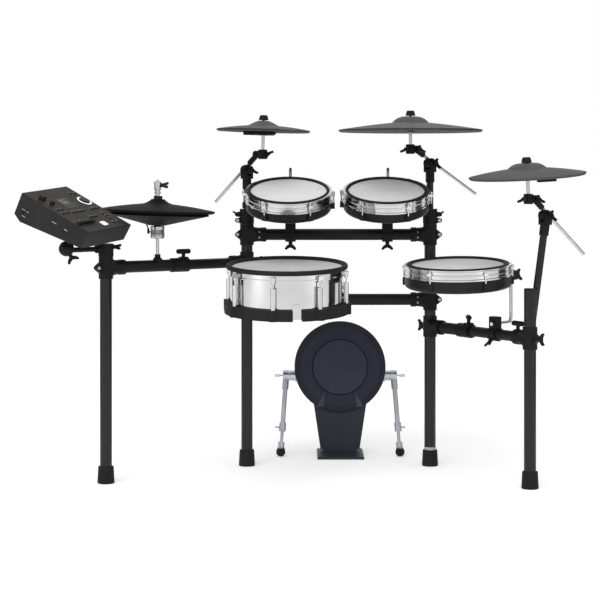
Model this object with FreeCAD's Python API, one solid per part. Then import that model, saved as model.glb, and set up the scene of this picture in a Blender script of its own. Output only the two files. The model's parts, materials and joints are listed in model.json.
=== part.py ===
import FreeCAD, Part
import math
import os

# Electronic drum kit on a tubular rack: snare, two rack toms, floor tom, hi-hat, two crashes,
# ride, kick and module.
# Millimetres, +Z up, +X to the right as the player faces it, +Y away from the player, floor at z = 0.
# While it is built, x = 0 is midway between the centre legs and y = 0 is the plane of their axes.

V = FreeCAD.Vector
X = V(1, 0, 0)
Y = V(0, 1, 0)
Z = V(0, 0, 1)

# Clearances
FIT = 0.3
RUN = 0.08

# Rack pipes
PIPE_R = 19.05
PIPE_WALL = 2.0
INNER_WALL = 2.0
INNER_R = PIPE_R - PIPE_WALL - FIT
CENTER_SPAN = 613.4
UPPER_BAR_Z = 774.0
LOWER_BAR_Z = 556.5
LEFT_REACH = 539.4
LEFT_YAW = 216.1
LEFT_ARM_Z = 681.0
RIGHT_REACH = 496.1
RIGHT_YAW = -55.7
RIGHT_ARM_Z = 467.0
RIGHT_LEG_TOP = 617.0
LEFT_COLLAR_AT = 266.0
RIGHT_COLLAR_AT = 185.0
TELESCOPE_LAP = 175.0
LEG_CAP_H = 5.0
CAP_INSET = 0.5

# Rubber feet
FOOT_H = 54.0
FOOT_R = 27.0
FOOT_TOP_R = 24.5
FOOT_FLOOR = 10.0

# Cast clamps and collars
CLAMP_WALL = 4.0
CLAMP_R = PIPE_R + CLAMP_WALL
CLAMP_H = 70.0
BRANCH_LEN = 65.0
BRANCH_WEB = 3.0
BRANCH_RIM = 1.2
ARM_START = PIPE_R + FIT + BRANCH_WEB
EAR_OUT = 13.0
EAR_HALF = 8.0
EAR_ROOT = 20.0
COLLAR_EAR_ROOT = 10.0
WING_SLANT = 0.5
STACK_GAP = 1.0
COLLAR_H = 42.0
MODULE_COLLAR_H = 32.0
COLLAR_LID = 8.0
CENTER_LEG_TOP = UPPER_BAR_Z + CLAMP_H / 2 + STACK_GAP + COLLAR_H
LEFT_LEG_TOP = LEFT_ARM_Z + CLAMP_H / 2 + STACK_GAP + MODULE_COLLAR_H
TELESCOPE_COLLAR = 62.0
RIGHT_KNOB = V(0.826, -0.563, 0)
SCREW_R = 3.0
SCREW_HOLE = SCREW_R + 0.25
PIPE_CLAMP_W = 35.0
KNOB_HALF = 19.0
KNOB_UP = 17.5
KNOB_R = 8.2

# Cymbal posts and booms
POST_R = 11.5
POST_WALL = 2.0
POST_LAP = 110.0
SOCKET_R = 15.0
SOCKET_H = 40.0
BOOM_R = 5.5
EYE_R = 18.0
EYE_W = 20.0
YOKE_T = 7.0
PIN_R = 4.0
ROD_RISE = 10.2
NECK_R = 9.5
NECK_L = 33.0
TONGUE_R = 11.0
TONGUE_T = 9.0
FORK_T = 6.0
TILTER_OUT = 25.0
TILTER_H = 32.0
STEM_R = 5.5
STEM_TOP_R = 4.0
SEAT_R = 13.0
SEAT_GAP = 0.6
TOPPER_R = 16.5
TOPPER_H = 17.0
TOPPER_GAP = 2.2
BORE_R = 6.5

# Each cymbal: reach and heading from its post, heights, boom slope, tail length, radius, bell and base, then
# the two ends and the underside of the base's jack housing, the way its boom's wing nut points, and its lean
CRASH_LEFT = dict(reach=73.7, yaw=-43.0, tilter_z=1042.0, slope=39.0, tail=184.0, rim_z=1116.0, radius=156.0,
                  bell_r=51.0, bell_z=21.0, top_r=18.0, top_z=37.0, dome=0.8, core_r=42.0, core_z=5.0,
                  skirt_z=-11.0, jack=(-66.0, -20.0, -11.0), wing=V(1.0, 0, -0.7), roll=1.6, pitch=0.0)
RIDE = dict(reach=104.4, yaw=227.5, tilter_z=1059.0, slope=24.5, tail=272.0, rim_z=1115.0, radius=238.0,
            bell_r=61.0, bell_z=31.0, top_r=19.0, top_z=52.0, dome=5.0, core_r=50.0, core_z=14.0,
            skirt_z=14.0, jack=None, wing=V(0.6, 0, 1.0), roll=0.0, pitch=0.0)
CRASH_RIGHT = dict(reach=78.0, yaw=220.8, tilter_z=900.0, slope=37.0, tail=224.0, rim_z=968.0, radius=182.0,
                   bell_r=60.0, bell_z=27.0, top_r=19.0, top_z=43.0, dome=5.0, core_r=48.0, core_z=14.0,
                   skirt_z=14.0, jack=(30.0, 88.0, -17.0), wing=V(0.6, 0, 1.0), roll=-3.5, pitch=3.0)
RIM_T = 8.0
RIM_BEVEL = 5.0
PAD_T = 7.0
JACK_HALF = 22.0
SEAT_ROOM = 6.0

# Leaning pole behind the right leg, which carries the right crash
POLE_BEHIND = 42.0
POLE_ASIDE = 6.5
POLE_LEAN = 7.4
POLE_SLEEVE_H = 40.0
POLE_TOP_DROP = 72.0

# Snare
SNARE_FROM_LEG = 137.2
SNARE_Y = -374.0
SNARE_Z = 687.5
SNARE_TILT = 4.5
SNARE_R = 178.0
SNARE_WALL = 2.0
SNARE_RIM_R = SNARE_R + 13.0
SNARE_HEAD_R = SNARE_R - 5.0
SNARE_RIM_UP = 10.5
SNARE_RIM_DOWN = 4.0
SNARE_DEPTH = 153.0
SNARE_LUGS = 8
SNARE_LUG_PHASE = -12.5
SNARE_LUG_R = 8.0
SNARE_LUG_L = 66.0
SNARE_BAND_OUT = 6.8
SNARE_BAND_H = 18.0
BASE_HOOP_H = 33.0
BASE_HOOP_R = SNARE_R + 19.0
BASE_BUMP_R = 15.0
SNARE_COVER_T = 4.0
NOTCH_W = 30.0
NOTCH_TAB_UP = 17.0
NOTCH_TAB_T = 5.0
NOTCH_ANGLE = 10.0
SNARE_ARM_RISE = 64.0
SNARE_ARM_R = 6.35
HEAD_T = 1.2

# Rack toms and floor tom
TOM = dict(rim_r=132.5, head_r=123.0, hoop_h=35.0, shell_h=33.0, lugs=6, lug_out=13.0)
FLOOR_TOM = dict(rim_r=163.5, head_r=147.0, hoop_h=34.0, shell_h=39.0, lugs=6, lug_out=8.5)
RIM_UP = 7.0
HOOP_UP = 4.0
HOOP_WALL = 5.0
HOOP_FLANGE = 3.5
SHELL_OUT = 7.0
SHELL_WALL = 8.0
LUG_EDGE = 4.5
TENSION_R = 2.8
TOM_SPACING = 316.5
TOM_MID_X = -7.5
TOM_Y = -195.0
TOM_Z = 921.0
TOM_TILT = 18.0
TOM_ROD_R = 5.25
TOM_ROD_OUT = 38.0
TOM_ROD_ASIDE = dict(tom_left=5.0, tom_right=13.0)
TOM_ROD_UP = 20.0
TOM_LUG_PHASE = dict(tom_left=-1.5, tom_right=-4.0)
FLOOR_TOM_FROM_LEG = V(66.5, -289.0, 0)
FLOOR_TOM_Z = 688.0
FLOOR_TOM_TILT = 4.7
FLOOR_TOM_ROLL = -1.3
FLOOR_LUG_PHASE = -5.6
FLOOR_ROD_ANGLE = 116.0
FLOOR_ROD_OUT = 36.0
FLOOR_BRACKET_OUT = 16.0
FLOOR_ROD_RISE = 33.0
FLOOR_ROD_BEND = 16.0
FLOOR_CLAMP_AT = 331.5
FLOOR_BLOCK_H = 56.0
FLOOR_BLOCK_W = 26.0

# Hi-hat
HIHAT_AT = 349.0
HIHAT_R = 185.5
HIHAT_RIM_Z = 853.0
HIHAT_LOW_R = 167.0
HIHAT_GAP = 2.5
HIHAT_TILT = 2.0
HIHAT_POST_R = 5.5
HIHAT_SADDLE_R = 15.0
HIHAT_SADDLE_UP = 18.0
SENSOR_R = 23.0
SENSOR_Z = 769.0
SENSOR_H = 40.0
PULL_ROD_R = 3.5
CLUTCH_R = 11.5
LEAD_R = 2.2
LEAD_OUT = 30.0
LEAD_PAD_OUT = 44.0
LEAD_PLUG_R = 3.6
LEAD_PLUG_Z = 21.0

# Kick
KICK_X = 10.7
KICK_Y = 221.0
KICK_Z = 304.0
KICK_R = 159.0
KICK_PAD_T = 10.0
KICK_SKIRT = 6.0
KICK_DEPTH = 50.0
KICK_SPOT_R = 96.0
RIDGE_APEX = (52.0, 218.0)
RIDGE_BASE = (58.0, 82.0, 166.0)
RIDGE_UP = 2.5
TOWER_TOP_W = 188.0
TOWER_BASE_W = 136.0
TOWER_BASE_Z = 16.0
BASE_W = 160.0
BASE_FRONT = 105.0
BASE_BACK = 85.0
BASE_T = 8.0
SPUR_PIVOT_DROP = 33.0
SPUR_PIVOT_Y = 24.0
SPUR_OUT = 188.0
SPUR_SPLAY = 18.0
SPUR_FORWARD = 76.0
SPUR_R = 8.5
SPUR_ROD_R = 5.5
SPUR_TIP_R = 16.0
SPUR_ARM_R = 18.0
SPUR_FLANGE_R = 22.0
KNUCKLE_R = 19.0

# Module
MODULE_FROM_LEG = V(-72.4, -142.0, 0)
MODULE_Z = 870.6
MODULE_YAW = -24.3
MODULE_DIP = 26.7
MODULE_PITCH = 4.8
MODULE_W = 264.0
MODULE_D = 238.0
MODULE_RIGHT_H = 56.0
MODULE_LEFT_H = 86.0
MODULE_TOE_H = 72.0
MODULE_TOE = 28.0
MODULE_RAKE = 5.0
PANEL_T = 3.0
BALL_PLACE = V(10.5, 8.2, -135.6)
BALL_R = 16.0
BALL_SCREW = V(0.5, 0, -0.85)
HOUSING_WALL = 8.0
NECK_ROD_R = 6.5
MOUNT_ROD_R = 8.0
MOUNT_ROD_DROP = 8.0
MODULE_WALL = 6.0
JACKS = {-104.5: 3.3, -81.5: 1.9}
JACK_Z = -55.0
BUTTON_L = 9.0
BUTTON_W = 6.0
BUTTON_UP = 2.4
FADER_COUNT = 6
FADER_PITCH = 15.0
FADER_SLOT = 34.0
FADER_X = 82.0
FADER_FRONT = -103.0
BALL_PLATE_HALF = V(50.0, 40.0, 0)
BALL_PLATE_T = 4.0
SCREEN_LOW = V(-70.0, -34.0, -1.5)
SCREEN_HIGH = V(-9.0, 28.0, 0.3)
RING_IN = 19.5
RING_OUT = 24.5
CARD_SLOT = V(44.0, 68.0, -42.0)
CARD_SLOT_H = 4.0
PAD_BUTTON = V(100.0, 9.0, 0)
PAD_BUTTON_W = 20.0
PAD_BUTTON_L = 22.0

# Each knob: place on the panel, radius and height; each row of buttons: first place, step and count
KNOBS = {"volume_knob": (V(-78, -85, 0), 12.0, 15.0), "mix_knob": (V(-45, -76, 0), 8.0, 12.0),
         "dial": (V(-36.5, 90, 0), 18.0, 4.5)}
BUTTON_ROWS = [(V(-87, 84, 0), V(5, 15, 0), 2), (V(-10, -88, 0), V(0, 22, 0), 2),
               (V(13, -92, 0), V(0, 22, 0), 2),
               (V(16, -40, 0), V(0, 14.5, 0), 5), (V(14, 61, 0), V(0, 12, 0), 4),
               (V(56, 0, 0), V(0, 15, 0), 3),
               (V(49, 77, 0), V(14, 0, 0), 3), (V(103, 63, 0), V(0, 25, 0), 2)]

NODES = {}
JOINT_POINTS = {}
JOINT_AXES = {}


def add(name, *solids):
    NODES.setdefault(name, []).extend(solids)


def joint(name, point, axis):
    JOINT_POINTS[name] = V(point)
    JOINT_AXES[name] = V(axis).normalize()


def unit(vector):
    return V(vector).normalize()


def polar(length, yaw):
    angle = math.radians(yaw)
    return V(length * math.cos(angle), length * math.sin(angle), 0)


def rod(start, end, radius):
    return Part.makeCylinder(radius, (end - start).Length, start, end - start)


def pipe(start, end, radius, wall):
    step = unit(end - start)
    return rod(start, end, radius).cut(rod(start - step, end + step, radius - wall))


def box(x0, x1, y0, y1, z0, z1):
    return Part.makeBox(x1 - x0, y1 - y0, z1 - z0, V(x0, y0, z0))


def join(first, *others):
    return first.multiFuse(list(others)).removeSplitter()


def outline(points):
    # A closed wire in the XZ plane; an item of two points is an arc through the first to the second.
    edges = []
    at = points[0]
    for item in points[1:] + points[:1]:
        if isinstance(item[0], tuple):
            middle, end = item
            edges.append(Part.Arc(V(at[0], 0, at[1]), V(middle[0], 0, middle[1]),
                                  V(end[0], 0, end[1])).toShape())
            at = end
        else:
            edges.append(Part.makeLine(V(at[0], 0, at[1]), V(item[0], 0, item[1])))
            at = item
    return Part.Face(Part.Wire(edges))


def turned(points):
    return outline(points).revolve(V(), Z, 360)


def slab(points, y0, y1):
    face = outline(points)
    face.translate(V(0, y0, 0))
    return face.extrude(V(0, y1 - y0, 0))


def frame(origin, z_axis, x_axis):
    z = unit(z_axis)
    x = unit(x_axis - z * x_axis.dot(z))
    return FreeCAD.Placement(origin, FreeCAD.Rotation(x, z.cross(x), z, "ZXY"))


def put(shape, placement):
    moved = shape.copy()
    moved.Placement = placement.multiply(moved.Placement)
    return moved


def put_all(shapes, placement):
    return [put(shape, placement) for shape in shapes]


def hexagon(across, height, base=0.0):
    corners = [polar(across / math.sqrt(3), 60 * k) + V(0, 0, base) for k in range(7)]
    return Part.Face(Part.makePolygon(corners)).extrude(V(0, 0, height))


def ear_bolt(half, wing_side):
    # A bolt along Y through an ear 2 * half thick, with a hexagon head and a nut, or a wing nut on a side.
    shank = rod(V(0, -half, 0), V(0, half, 0), SCREW_R)
    facing = Y * (wing_side or 1)
    head = put(hexagon(10.0, 4.0), frame(facing * -half, facing * -1, X))
    if wing_side:
        nut = put(wing_bolt(1.0), frame(facing * half, facing, Z * WING_SLANT - X))
    else:
        nut = put(hexagon(10.0, 4.5), frame(facing * half, facing, X))
    return join(shank, head, nut)


def wing_bolt(depth):
    # A wing bolt along +Z, seated at z = 0, with its screw reaching down by depth.
    screw = Part.makeCylinder(SCREW_R, depth, V(0, 0, -depth))
    hub = Part.makeCone(7.0, 5.5, 15.0)
    wing = [(2.0, 4.0), ((9.5, 6.5), (16.5, 14.0)), ((19.0, 20.5), (14.5, 23.5)), ((9.0, 19.0), (2.0, 16.5))]
    wings = [slab(wing, -3.0, 3.0)]
    wings.append(put(wings[0], frame(V(), Z, -X)))
    return join(screw, hub, *wings)


def t_knob(depth):
    # A T-handled screw along +Z, seated at z = 0.
    screw = Part.makeCylinder(SCREW_R, depth, V(0, 0, -depth))
    stem = Part.makeCylinder(6.0, 13.0)
    grip = rod(V(-KNOB_HALF, 0, KNOB_UP), V(KNOB_HALF, 0, KNOB_UP), KNOB_R)
    ends = [Part.makeSphere(KNOB_R, V(side * KNOB_HALF, 0, KNOB_UP)) for side in (-1, 1)]
    return join(screw, stem, grip, *ends)


def drill(depth, radius=SCREW_HOLE):
    return Part.makeCylinder(radius, depth + 1.0, V(0, 0, -depth))


def ear(z, root_half, wing_side=0):
    # The lobe of a split clamp on its -X side, at height z, with its bolt; its root is 2 * root_half high.
    tip = -CLAMP_R - EAR_OUT
    root = -CLAMP_R + CLAMP_WALL
    lobe = slab([(root, z - root_half), (tip, z - 7), ((tip - 4, z), (tip, z + 7)), (root, z + root_half)],
                -EAR_HALF,
                EAR_HALF)
    place = V(tip + 5.0, 0, z)
    hole = rod(place - Y * 20, place + Y * 20, SCREW_HOLE)
    bolt = ear_bolt(EAR_HALF, wing_side)
    bolt.translate(place)
    return lobe, hole, bolt


def t_clamp(arm_r, winged):
    # A casting around a vertical pipe at the origin, with a branch along +X for a pipe of radius arm_r.
    body = Part.makeCylinder(CLAMP_R, CLAMP_H, V(0, 0, -CLAMP_H / 2))
    flare_r = CLAMP_H / 2 - 4.0
    shoulder = BRANCH_LEN - 18.0
    branch = turned([(0, 0), (flare_r, 0), (flare_r, CLAMP_R / 2),
                     ((CLAMP_R + 2.2, shoulder / 2 + 3.0), (CLAMP_R, shoulder)),
                     (CLAMP_R + BRANCH_RIM, shoulder), (CLAMP_R + BRANCH_RIM, BRANCH_LEN), (0, BRANCH_LEN)])
    branch = put(branch, frame(V(), X, Z))
    side = CLAMP_R + BRANCH_RIM / 3
    branch = branch.common(box(-1, BRANCH_LEN + 1, -side, side, -CLAMP_H, CLAMP_H))
    lobe, hole, bolt = ear(0.0, EAR_ROOT)
    casting = join(body, branch, lobe)
    casting = casting.cut(Part.makeCylinder(PIPE_R + FIT, CLAMP_H + 2, V(0, 0, -CLAMP_H / 2 - 1)))
    casting = casting.cut(rod(V(ARM_START, 0, 0), V(BRANCH_LEN + 1, 0, 0), arm_r + FIT))
    if winged:
        seat = frame(V(-CLAMP_R - EAR_OUT - 4.0, 0, 0), -X, Z)
        casting = casting.cut(put(drill(EAR_OUT), seat))
        return [casting, put(wing_bolt(EAR_OUT - 1.0), seat)]
    return [casting.cut(hole), bolt]


def split_collar(leg_top, height, post_r, ears, wing_side):
    # A collar over the top of a leg whose lid holds a post of radius post_r, or closes the leg if that is 0.
    # Its upper ear is tightened by a wing nut.
    outer = PIPE_R + CLAMP_WALL + 1.0
    collar = Part.makeCylinder(outer, height + COLLAR_LID, V(0, 0, leg_top - height))
    bolts = []
    for z in ears:
        lobe, hole, bolt = ear(leg_top + z, COLLAR_EAR_ROOT, wing_side if z == max(ears) else 0)
        collar = join(collar, lobe).cut(hole)
        bolts.append(bolt)
    collar = collar.cut(Part.makeCylinder(PIPE_R + FIT, height + 1.0 + FIT, V(0, 0, leg_top - height - 1.0)))
    if post_r:
        collar = collar.cut(Part.makeCylinder(post_r + FIT, COLLAR_LID + 4.0, V(0, 0, leg_top - 1.0)))
    return [collar] + bolts


def telescope_collar(grip):
    # A collar along +X, fixed on the sleeve's end at x = 0, that clamps the inner tube on its -X side.
    # The handle of its T-knob points along grip.
    half = TELESCOPE_COLLAR / 2
    outer = PIPE_R + CLAMP_WALL
    collar = rod(V(-half, 0, 0), V(half, 0, 0), outer)
    pad = box(-half + 4, -4, -12, 12, 0, outer + 3.0)
    collar = join(collar, pad)
    collar = collar.cut(rod(V(0, 0, 0), V(half + 1, 0, 0), PIPE_R + FIT))
    collar = collar.cut(rod(V(-half - 1, 0, 0), V(1, 0, 0), INNER_R + FIT))
    seat = frame(V(-half / 2, 0, outer + 3.0), Z, grip)
    collar = collar.cut(put(drill(6.0), seat))
    return [collar, put(t_knob(5.0), seat)]


def pipe_clamp(pipe_r, extra, wing_axis):
    # A clamp around a pipe along X, fused with the bodies in extra, with a wing bolt along wing_axis.
    outer = pipe_r + CLAMP_WALL + 1.5
    ring = rod(V(-PIPE_CLAMP_W / 2, 0, 0), V(PIPE_CLAMP_W / 2, 0, 0), outer)
    tip = wing_axis * (outer + 4.0)
    lug = Part.makeCone(7.0, 10.0, outer + 4.0, tip, wing_axis * -1)
    casting = join(ring, lug, *extra)
    casting = casting.cut(rod(V(-PIPE_CLAMP_W, 0, 0), V(PIPE_CLAMP_W, 0, 0), pipe_r + FIT))
    seat = frame(tip, wing_axis, X + wing_axis.cross(X) * 0.35)
    casting = casting.cut(put(drill(8.0), seat))
    return casting, put(wing_bolt(6.0), seat)


def leg(foot_xy, top):
    return pipe(foot_xy + Z * FOOT_FLOOR, foot_xy + Z * top, PIPE_R, PIPE_WALL)


def foot(foot_xy):
    rubber = turned([(0, 0), (FOOT_R - 3, 0), ((FOOT_R - 0.9, 0.9), (FOOT_R, 3)), (FOOT_TOP_R, FOOT_H - 2),
                     (FOOT_TOP_R - 2, FOOT_H), (PIPE_R + FIT, FOOT_H), (PIPE_R + FIT, FOOT_FLOOR),
                     (0, FOOT_FLOOR)])
    rubber.translate(foot_xy)
    return rubber


def cymbal_pad(spec):
    # A rubber pad with its rim's underside at z = 0, its bell, and its base around a bore that opens upward.
    r = spec["radius"]
    bow = ((r + spec["bell_r"]) / 2, (RIM_T + spec["bell_z"]) / 2 + 1.5)
    flank = ((spec["bell_r"] + spec["top_r"]) / 2 + spec["dome"] / 2, (spec["bell_z"] + spec["top_z"]) / 2
             + spec["dome"])
    wide = BORE_R + (spec["top_z"] - spec["core_z"]) * math.tan(math.radians(8.0))
    under = spec["top_z"] - PAD_T
    pad = turned([(r - RIM_BEVEL, 0), (r, RIM_T * 0.6), (r - 1.0, RIM_T),
                  (bow, (spec["bell_r"], spec["bell_z"])),
                  (flank, (spec["top_r"], spec["top_z"])), (wide, spec["top_z"]), (wide, under),
                  (spec["top_r"] + 2.0, under), (spec["bell_r"] - 1.0, spec["bell_z"] - PAD_T),
                  (r - 30.0, 1.5),
                  (r - 26.0, 0)])
    low = spec["core_z"]
    narrow = BORE_R + (under - low) * math.tan(math.radians(8.0))
    core_r = min(spec["core_r"], spec["bell_r"] + 4.0)
    rim_under = spec["bell_z"] - PAD_T - (core_r - spec["bell_r"] + 1.0) * 0.35
    skirt = spec["skirt_z"]
    recess = [(SEAT_R + SEAT_ROOM, low), (SEAT_R + SEAT_ROOM, skirt)] if skirt < low else []
    base = turned([(BORE_R, low)] + recess
                  + [(core_r - 8.0, skirt), (core_r, skirt + 4.0), (core_r, rim_under - FIT - 1.0),
                     (spec["bell_r"] - 1.6, spec["bell_z"] - PAD_T - FIT), (spec["top_r"] + 1.6, under - FIT),
                     (narrow, under - FIT)])
    if spec["jack"]:
        start, end, bottom = spec["jack"]
        housing = box(start, end, -JACK_HALF, JACK_HALF, bottom, under)
        housing = housing.makeFillet(8.0, [e for e in housing.Edges if e.BoundBox.ZLength > 1.0])
        room = turned([(0, bottom - 1), (r - 30.0, bottom - 1), (r - 30.0, 1.5 - FIT),
                       (spec["bell_r"] - 1.0, spec["bell_z"] - PAD_T - FIT),
                       (spec["top_r"] + 2.0, under - FIT),
                       (0, under - FIT)])
        base = join(base, housing.common(room))
    return [pad, base]


def cymbal(name, spec, post):
    # The boom, tilter and pad of one cymbal, carried by a post whose axis passes through the point post.
    heading = polar(1.0, spec["yaw"])
    across = Z.cross(heading)
    slope = math.radians(spec["slope"])
    along = heading * math.cos(slope) + Z * math.sin(slope)
    perp = Z * math.cos(slope) - heading * math.sin(slope)
    stem_foot = V(post.x, post.y, 0) + heading * spec["reach"] + Z * spec["tilter_z"]
    pivot = stem_foot - heading * TILTER_OUT
    run = (spec["reach"] - TILTER_OUT + ROD_RISE * math.sin(slope)) / math.cos(slope)
    eye = pivot - along * run - perp * ROD_RISE
    tail = pivot - along * (run + spec["tail"])

    # Boom: the rod runs through the eye and ends in the neck, whose tongue meets the tilter.
    eye_frame = frame(eye, across, along)
    body = Part.makeCylinder(EYE_R, EYE_W - 2 * FIT, V(0, 0, -EYE_W / 2 + FIT))
    body = body.cut(Part.makeCylinder(PIN_R + RUN, EYE_W, V(0, 0, -EYE_W / 2)))
    body = put(body, eye_frame).cut(rod(tail, pivot, BOOM_R + FIT))
    neck = rod(pivot - along * (NECK_L + 13.0), pivot - along * 13.0, NECK_R)
    link = put(box(-14.0, 0, -6.5, 6.5, -TONGUE_T / 2, TONGUE_T / 2), frame(pivot, across, along))
    tongue = Part.makeCylinder(TONGUE_R, TONGUE_T, pivot - across * (TONGUE_T / 2), across)
    neck = join(neck, link, tongue)
    neck = neck.cut(rod(tail, pivot - along * 18.0, BOOM_R + FIT))
    neck = neck.cut(rod(pivot - across * 20, pivot + across * 20, PIN_R + RUN))
    boom_rod = rod(tail, pivot - along * 18.3, BOOM_R)
    add(name + "_boom", body, neck, boom_rod)
    joint(name + "_boom", eye, across)

    # Tilter: a fork around the tongue and a block that holds the stem.
    inner = TONGUE_T / 2 + FIT
    outer = inner + FORK_T
    local = frame(pivot, Z, heading)
    cheeks = []
    for side in (-1, 1):
        low, high = sorted((side * inner, side * outer))
        cheek = rod(V(0, low, 0), V(0, high, 0), TONGUE_R + 1.0)
        cheeks.append(join(cheek, box(0, TONGUE_R + 6.0, low, high, -TONGUE_R - 1.0, TONGUE_R + 1.0)))
    block = box(TONGUE_R + 2.5, TILTER_OUT + 13.0, -outer, outer, -TILTER_H / 2, TILTER_H / 2)
    block = block.makeFillet(3.0, [edge for edge in block.Edges])
    casting = join(block, *cheeks)
    casting = casting.cut(rod(V(0, -outer - 1, 0), V(0, outer + 1, 0), PIN_R + 0.02))
    stem_axis = FreeCAD.Rotation(Y, spec["roll"]).multiply(FreeCAD.Rotation(X, spec["pitch"])).multVec(Z)
    casting = put(casting, local)
    casting = casting.cut(rod(stem_foot - stem_axis * 40, stem_foot + stem_axis * 40, STEM_R + FIT))
    bolt_seat = frame(stem_foot + heading * 13.0, heading, across + Z * 0.6)
    casting = casting.cut(put(drill(6.0), bolt_seat))
    pin = rod(V(0, -outer - 3.0, 0), V(0, outer, 0), PIN_R)
    cap = put(wing_bolt(2.0), frame(V(0, outer, 0), Y, X + Z * 0.7))
    pin = put(join(pin, cap), local)
    rise = spec["rim_z"] + spec["core_z"] - stem_foot.z
    seat_at = stem_foot + stem_axis * rise
    cymbal_frame = frame(seat_at, stem_axis, X)
    seat = turned([(STEM_TOP_R, -SEAT_GAP), (6.0, -SEAT_GAP), (SEAT_R, -SEAT_GAP - 1.6), (SEAT_R, -9.0),
                   (9.0, -14.0),
                   (0, -14.0), (0, -8.0), (STEM_TOP_R, -8.0)])
    above = spec["top_z"] - spec["core_z"] + TOPPER_GAP
    stem = join(rod(V(0, 0, -rise - TILTER_H / 2 + 1.0), V(0, 0, -14.0), STEM_R),
                rod(V(0, 0, -14.0), V(0, 0, above + 4.0), STEM_TOP_R), seat)
    topper = turned([(STEM_TOP_R, above), (TOPPER_R - 1.5, above), (TOPPER_R, above + 1.5),
                     (TOPPER_R - 3.5, above + TOPPER_H - 3.0),
                     ((TOPPER_R - 5.0, above + TOPPER_H - 0.9), (TOPPER_R - 8.0, above + TOPPER_H)),
                     (0, above + TOPPER_H), (0, above + 4.0 + FIT), (STEM_TOP_R, above + 4.0 + FIT)])
    add(name + "_tilter", casting, pin, put(wing_bolt(5.0), bolt_seat),
        put(stem, cymbal_frame), put(topper, cymbal_frame))
    joint(name + "_tilter", pivot, across)

    # Pad
    pad = put_all(cymbal_pad(spec), frame(seat_at - stem_axis * spec["core_z"], stem_axis, X))
    add(name + "_pad", *pad)
    joint(name + "_swing", seat_at, X)
    return eye, across


def yoke(eye, axis, post_axis, wing):
    # The fixed yoke around a boom's eye: a socket along post_axis below it, two cheeks and a winged pin.
    drop = EYE_R + 5.0
    inner = EYE_W / 2
    outer = inner + YOKE_T
    local = frame(eye, Z, Z.cross(axis) * -1)
    top = eye - Z * drop
    socket = rod(top - post_axis * SOCKET_H, top + post_axis * 2.0, SOCKET_R)
    cheeks = []
    for side in (-1, 1):
        low, high = sorted((side * inner, side * outer))
        cheek = join(rod(V(0, low, 0), V(0, high, 0), EYE_R - 3.0), box(-13, 13, low, high, -drop - 4.0, 0))
        cheeks.append(cheek)
    floor = box(-13, 13, -outer, outer, -drop - 6.0, -drop + 3.0)
    casting = put(join(floor, *cheeks), local)
    casting = join(casting, socket)
    casting = casting.cut(put(rod(V(0, -40, 0), V(0, 40, 0), PIN_R + 0.02), local))
    pin = rod(V(0, -outer - 4.0, 0), V(0, outer, 0), PIN_R)
    nut = put(wing_bolt(2.0), frame(V(0, outer, 0), Y, wing))
    head = put(hexagon(14.0, 4.0), frame(V(0, -outer, 0), -Y, X))
    return casting, put(join(pin, nut, head), local), top


def drum(spec, phase):
    # A mesh-head pad along +Z with its head's top face at z = 0 and its lugs turned by phase.
    rim_r = spec["rim_r"]
    hoop_low = HOOP_UP - spec["hoop_h"]
    top = hoop_low - FIT
    low = top - spec["shell_h"]
    out = rim_r + SHELL_OUT
    lug_r = rim_r + spec["lug_out"]
    bearing = rim_r - 1.0
    shell = turned([(out - 24, low), (out - 12, low), ((out - 3.5, low + 4.5), (out, low + 14)), (out, top),
                    (bearing, top), (bearing, -HEAD_T - FIT), (bearing - SHELL_WALL, -HEAD_T - FIT),
                    (bearing - SHELL_WALL, low + 6), (0, low + 6), (0, low + 2), (out - 30, low + 2)])
    hoop_r = rim_r + FIT + HOOP_WALL
    flange = hoop_r + HOOP_FLANGE
    middle = (HOOP_UP + hoop_low) / 2
    hoop = turned([(rim_r + FIT, hoop_low), (flange, hoop_low), (flange, hoop_low + 4),
                   (hoop_r, hoop_low + 6),
                   (hoop_r, middle - 3), (hoop_r + 2, middle - 1.5), (hoop_r + 2, middle + 1.5),
                   (hoop_r, middle + 3),
                   (hoop_r, HOOP_UP - 5), (flange - 1, HOOP_UP - 3), (flange - 1, HOOP_UP),
                   (rim_r + FIT, HOOP_UP)])
    rods = []
    for k in range(spec["lugs"]):
        turn = FreeCAD.Placement(V(), FreeCAD.Rotation(Z, 360.0 / spec["lugs"] * k + phase))
        tab = box(rim_r + FIT + 1, lug_r + LUG_EDGE, -7, 7, -14, -6)
        hoop = join(hoop, put(tab, turn))
        boss = box(out - 6, lug_r + LUG_EDGE, -8, 8, low + 8, top - 8)
        shell = join(shell, put(boss, turn))
        hole = put(Part.makeCylinder(TENSION_R + FIT, -low, V(lug_r, 0, low + 12)), turn)
        recess = put(Part.makeCylinder(5.2 + FIT, 12, V(lug_r, 0, -6)), turn)
        hoop = hoop.cut(hole).cut(recess)
        shell = shell.cut(hole)
        screw = join(Part.makeCylinder(TENSION_R, -6 - low - 14, V(lug_r, 0, low + 14)),
                     Part.makeCylinder(5.2, 3, V(lug_r, 0, -6)), Part.makeCylinder(3.6, 8, V(lug_r, 0, -6)))
        rods.append(put(screw, turn))
    head = Part.makeCylinder(rim_r - 0.5, HEAD_T, V(0, 0, -HEAD_T))
    rim = turned([(spec["head_r"], 0), (rim_r, 0), (rim_r, RIM_UP - 3),
                  (((rim_r + spec["head_r"]) / 2, RIM_UP + 1.0), (spec["head_r"], RIM_UP - 3))])
    cone = Part.makeCone(30.0, 14.0, -HEAD_T - FIT - (low + 6), V(0, 0, low + 6))
    return dict(shell=shell, cone=cone, hoop=hoop, rods=rods, head=head, rim=rim, low=low, top=top, out=out)


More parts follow.
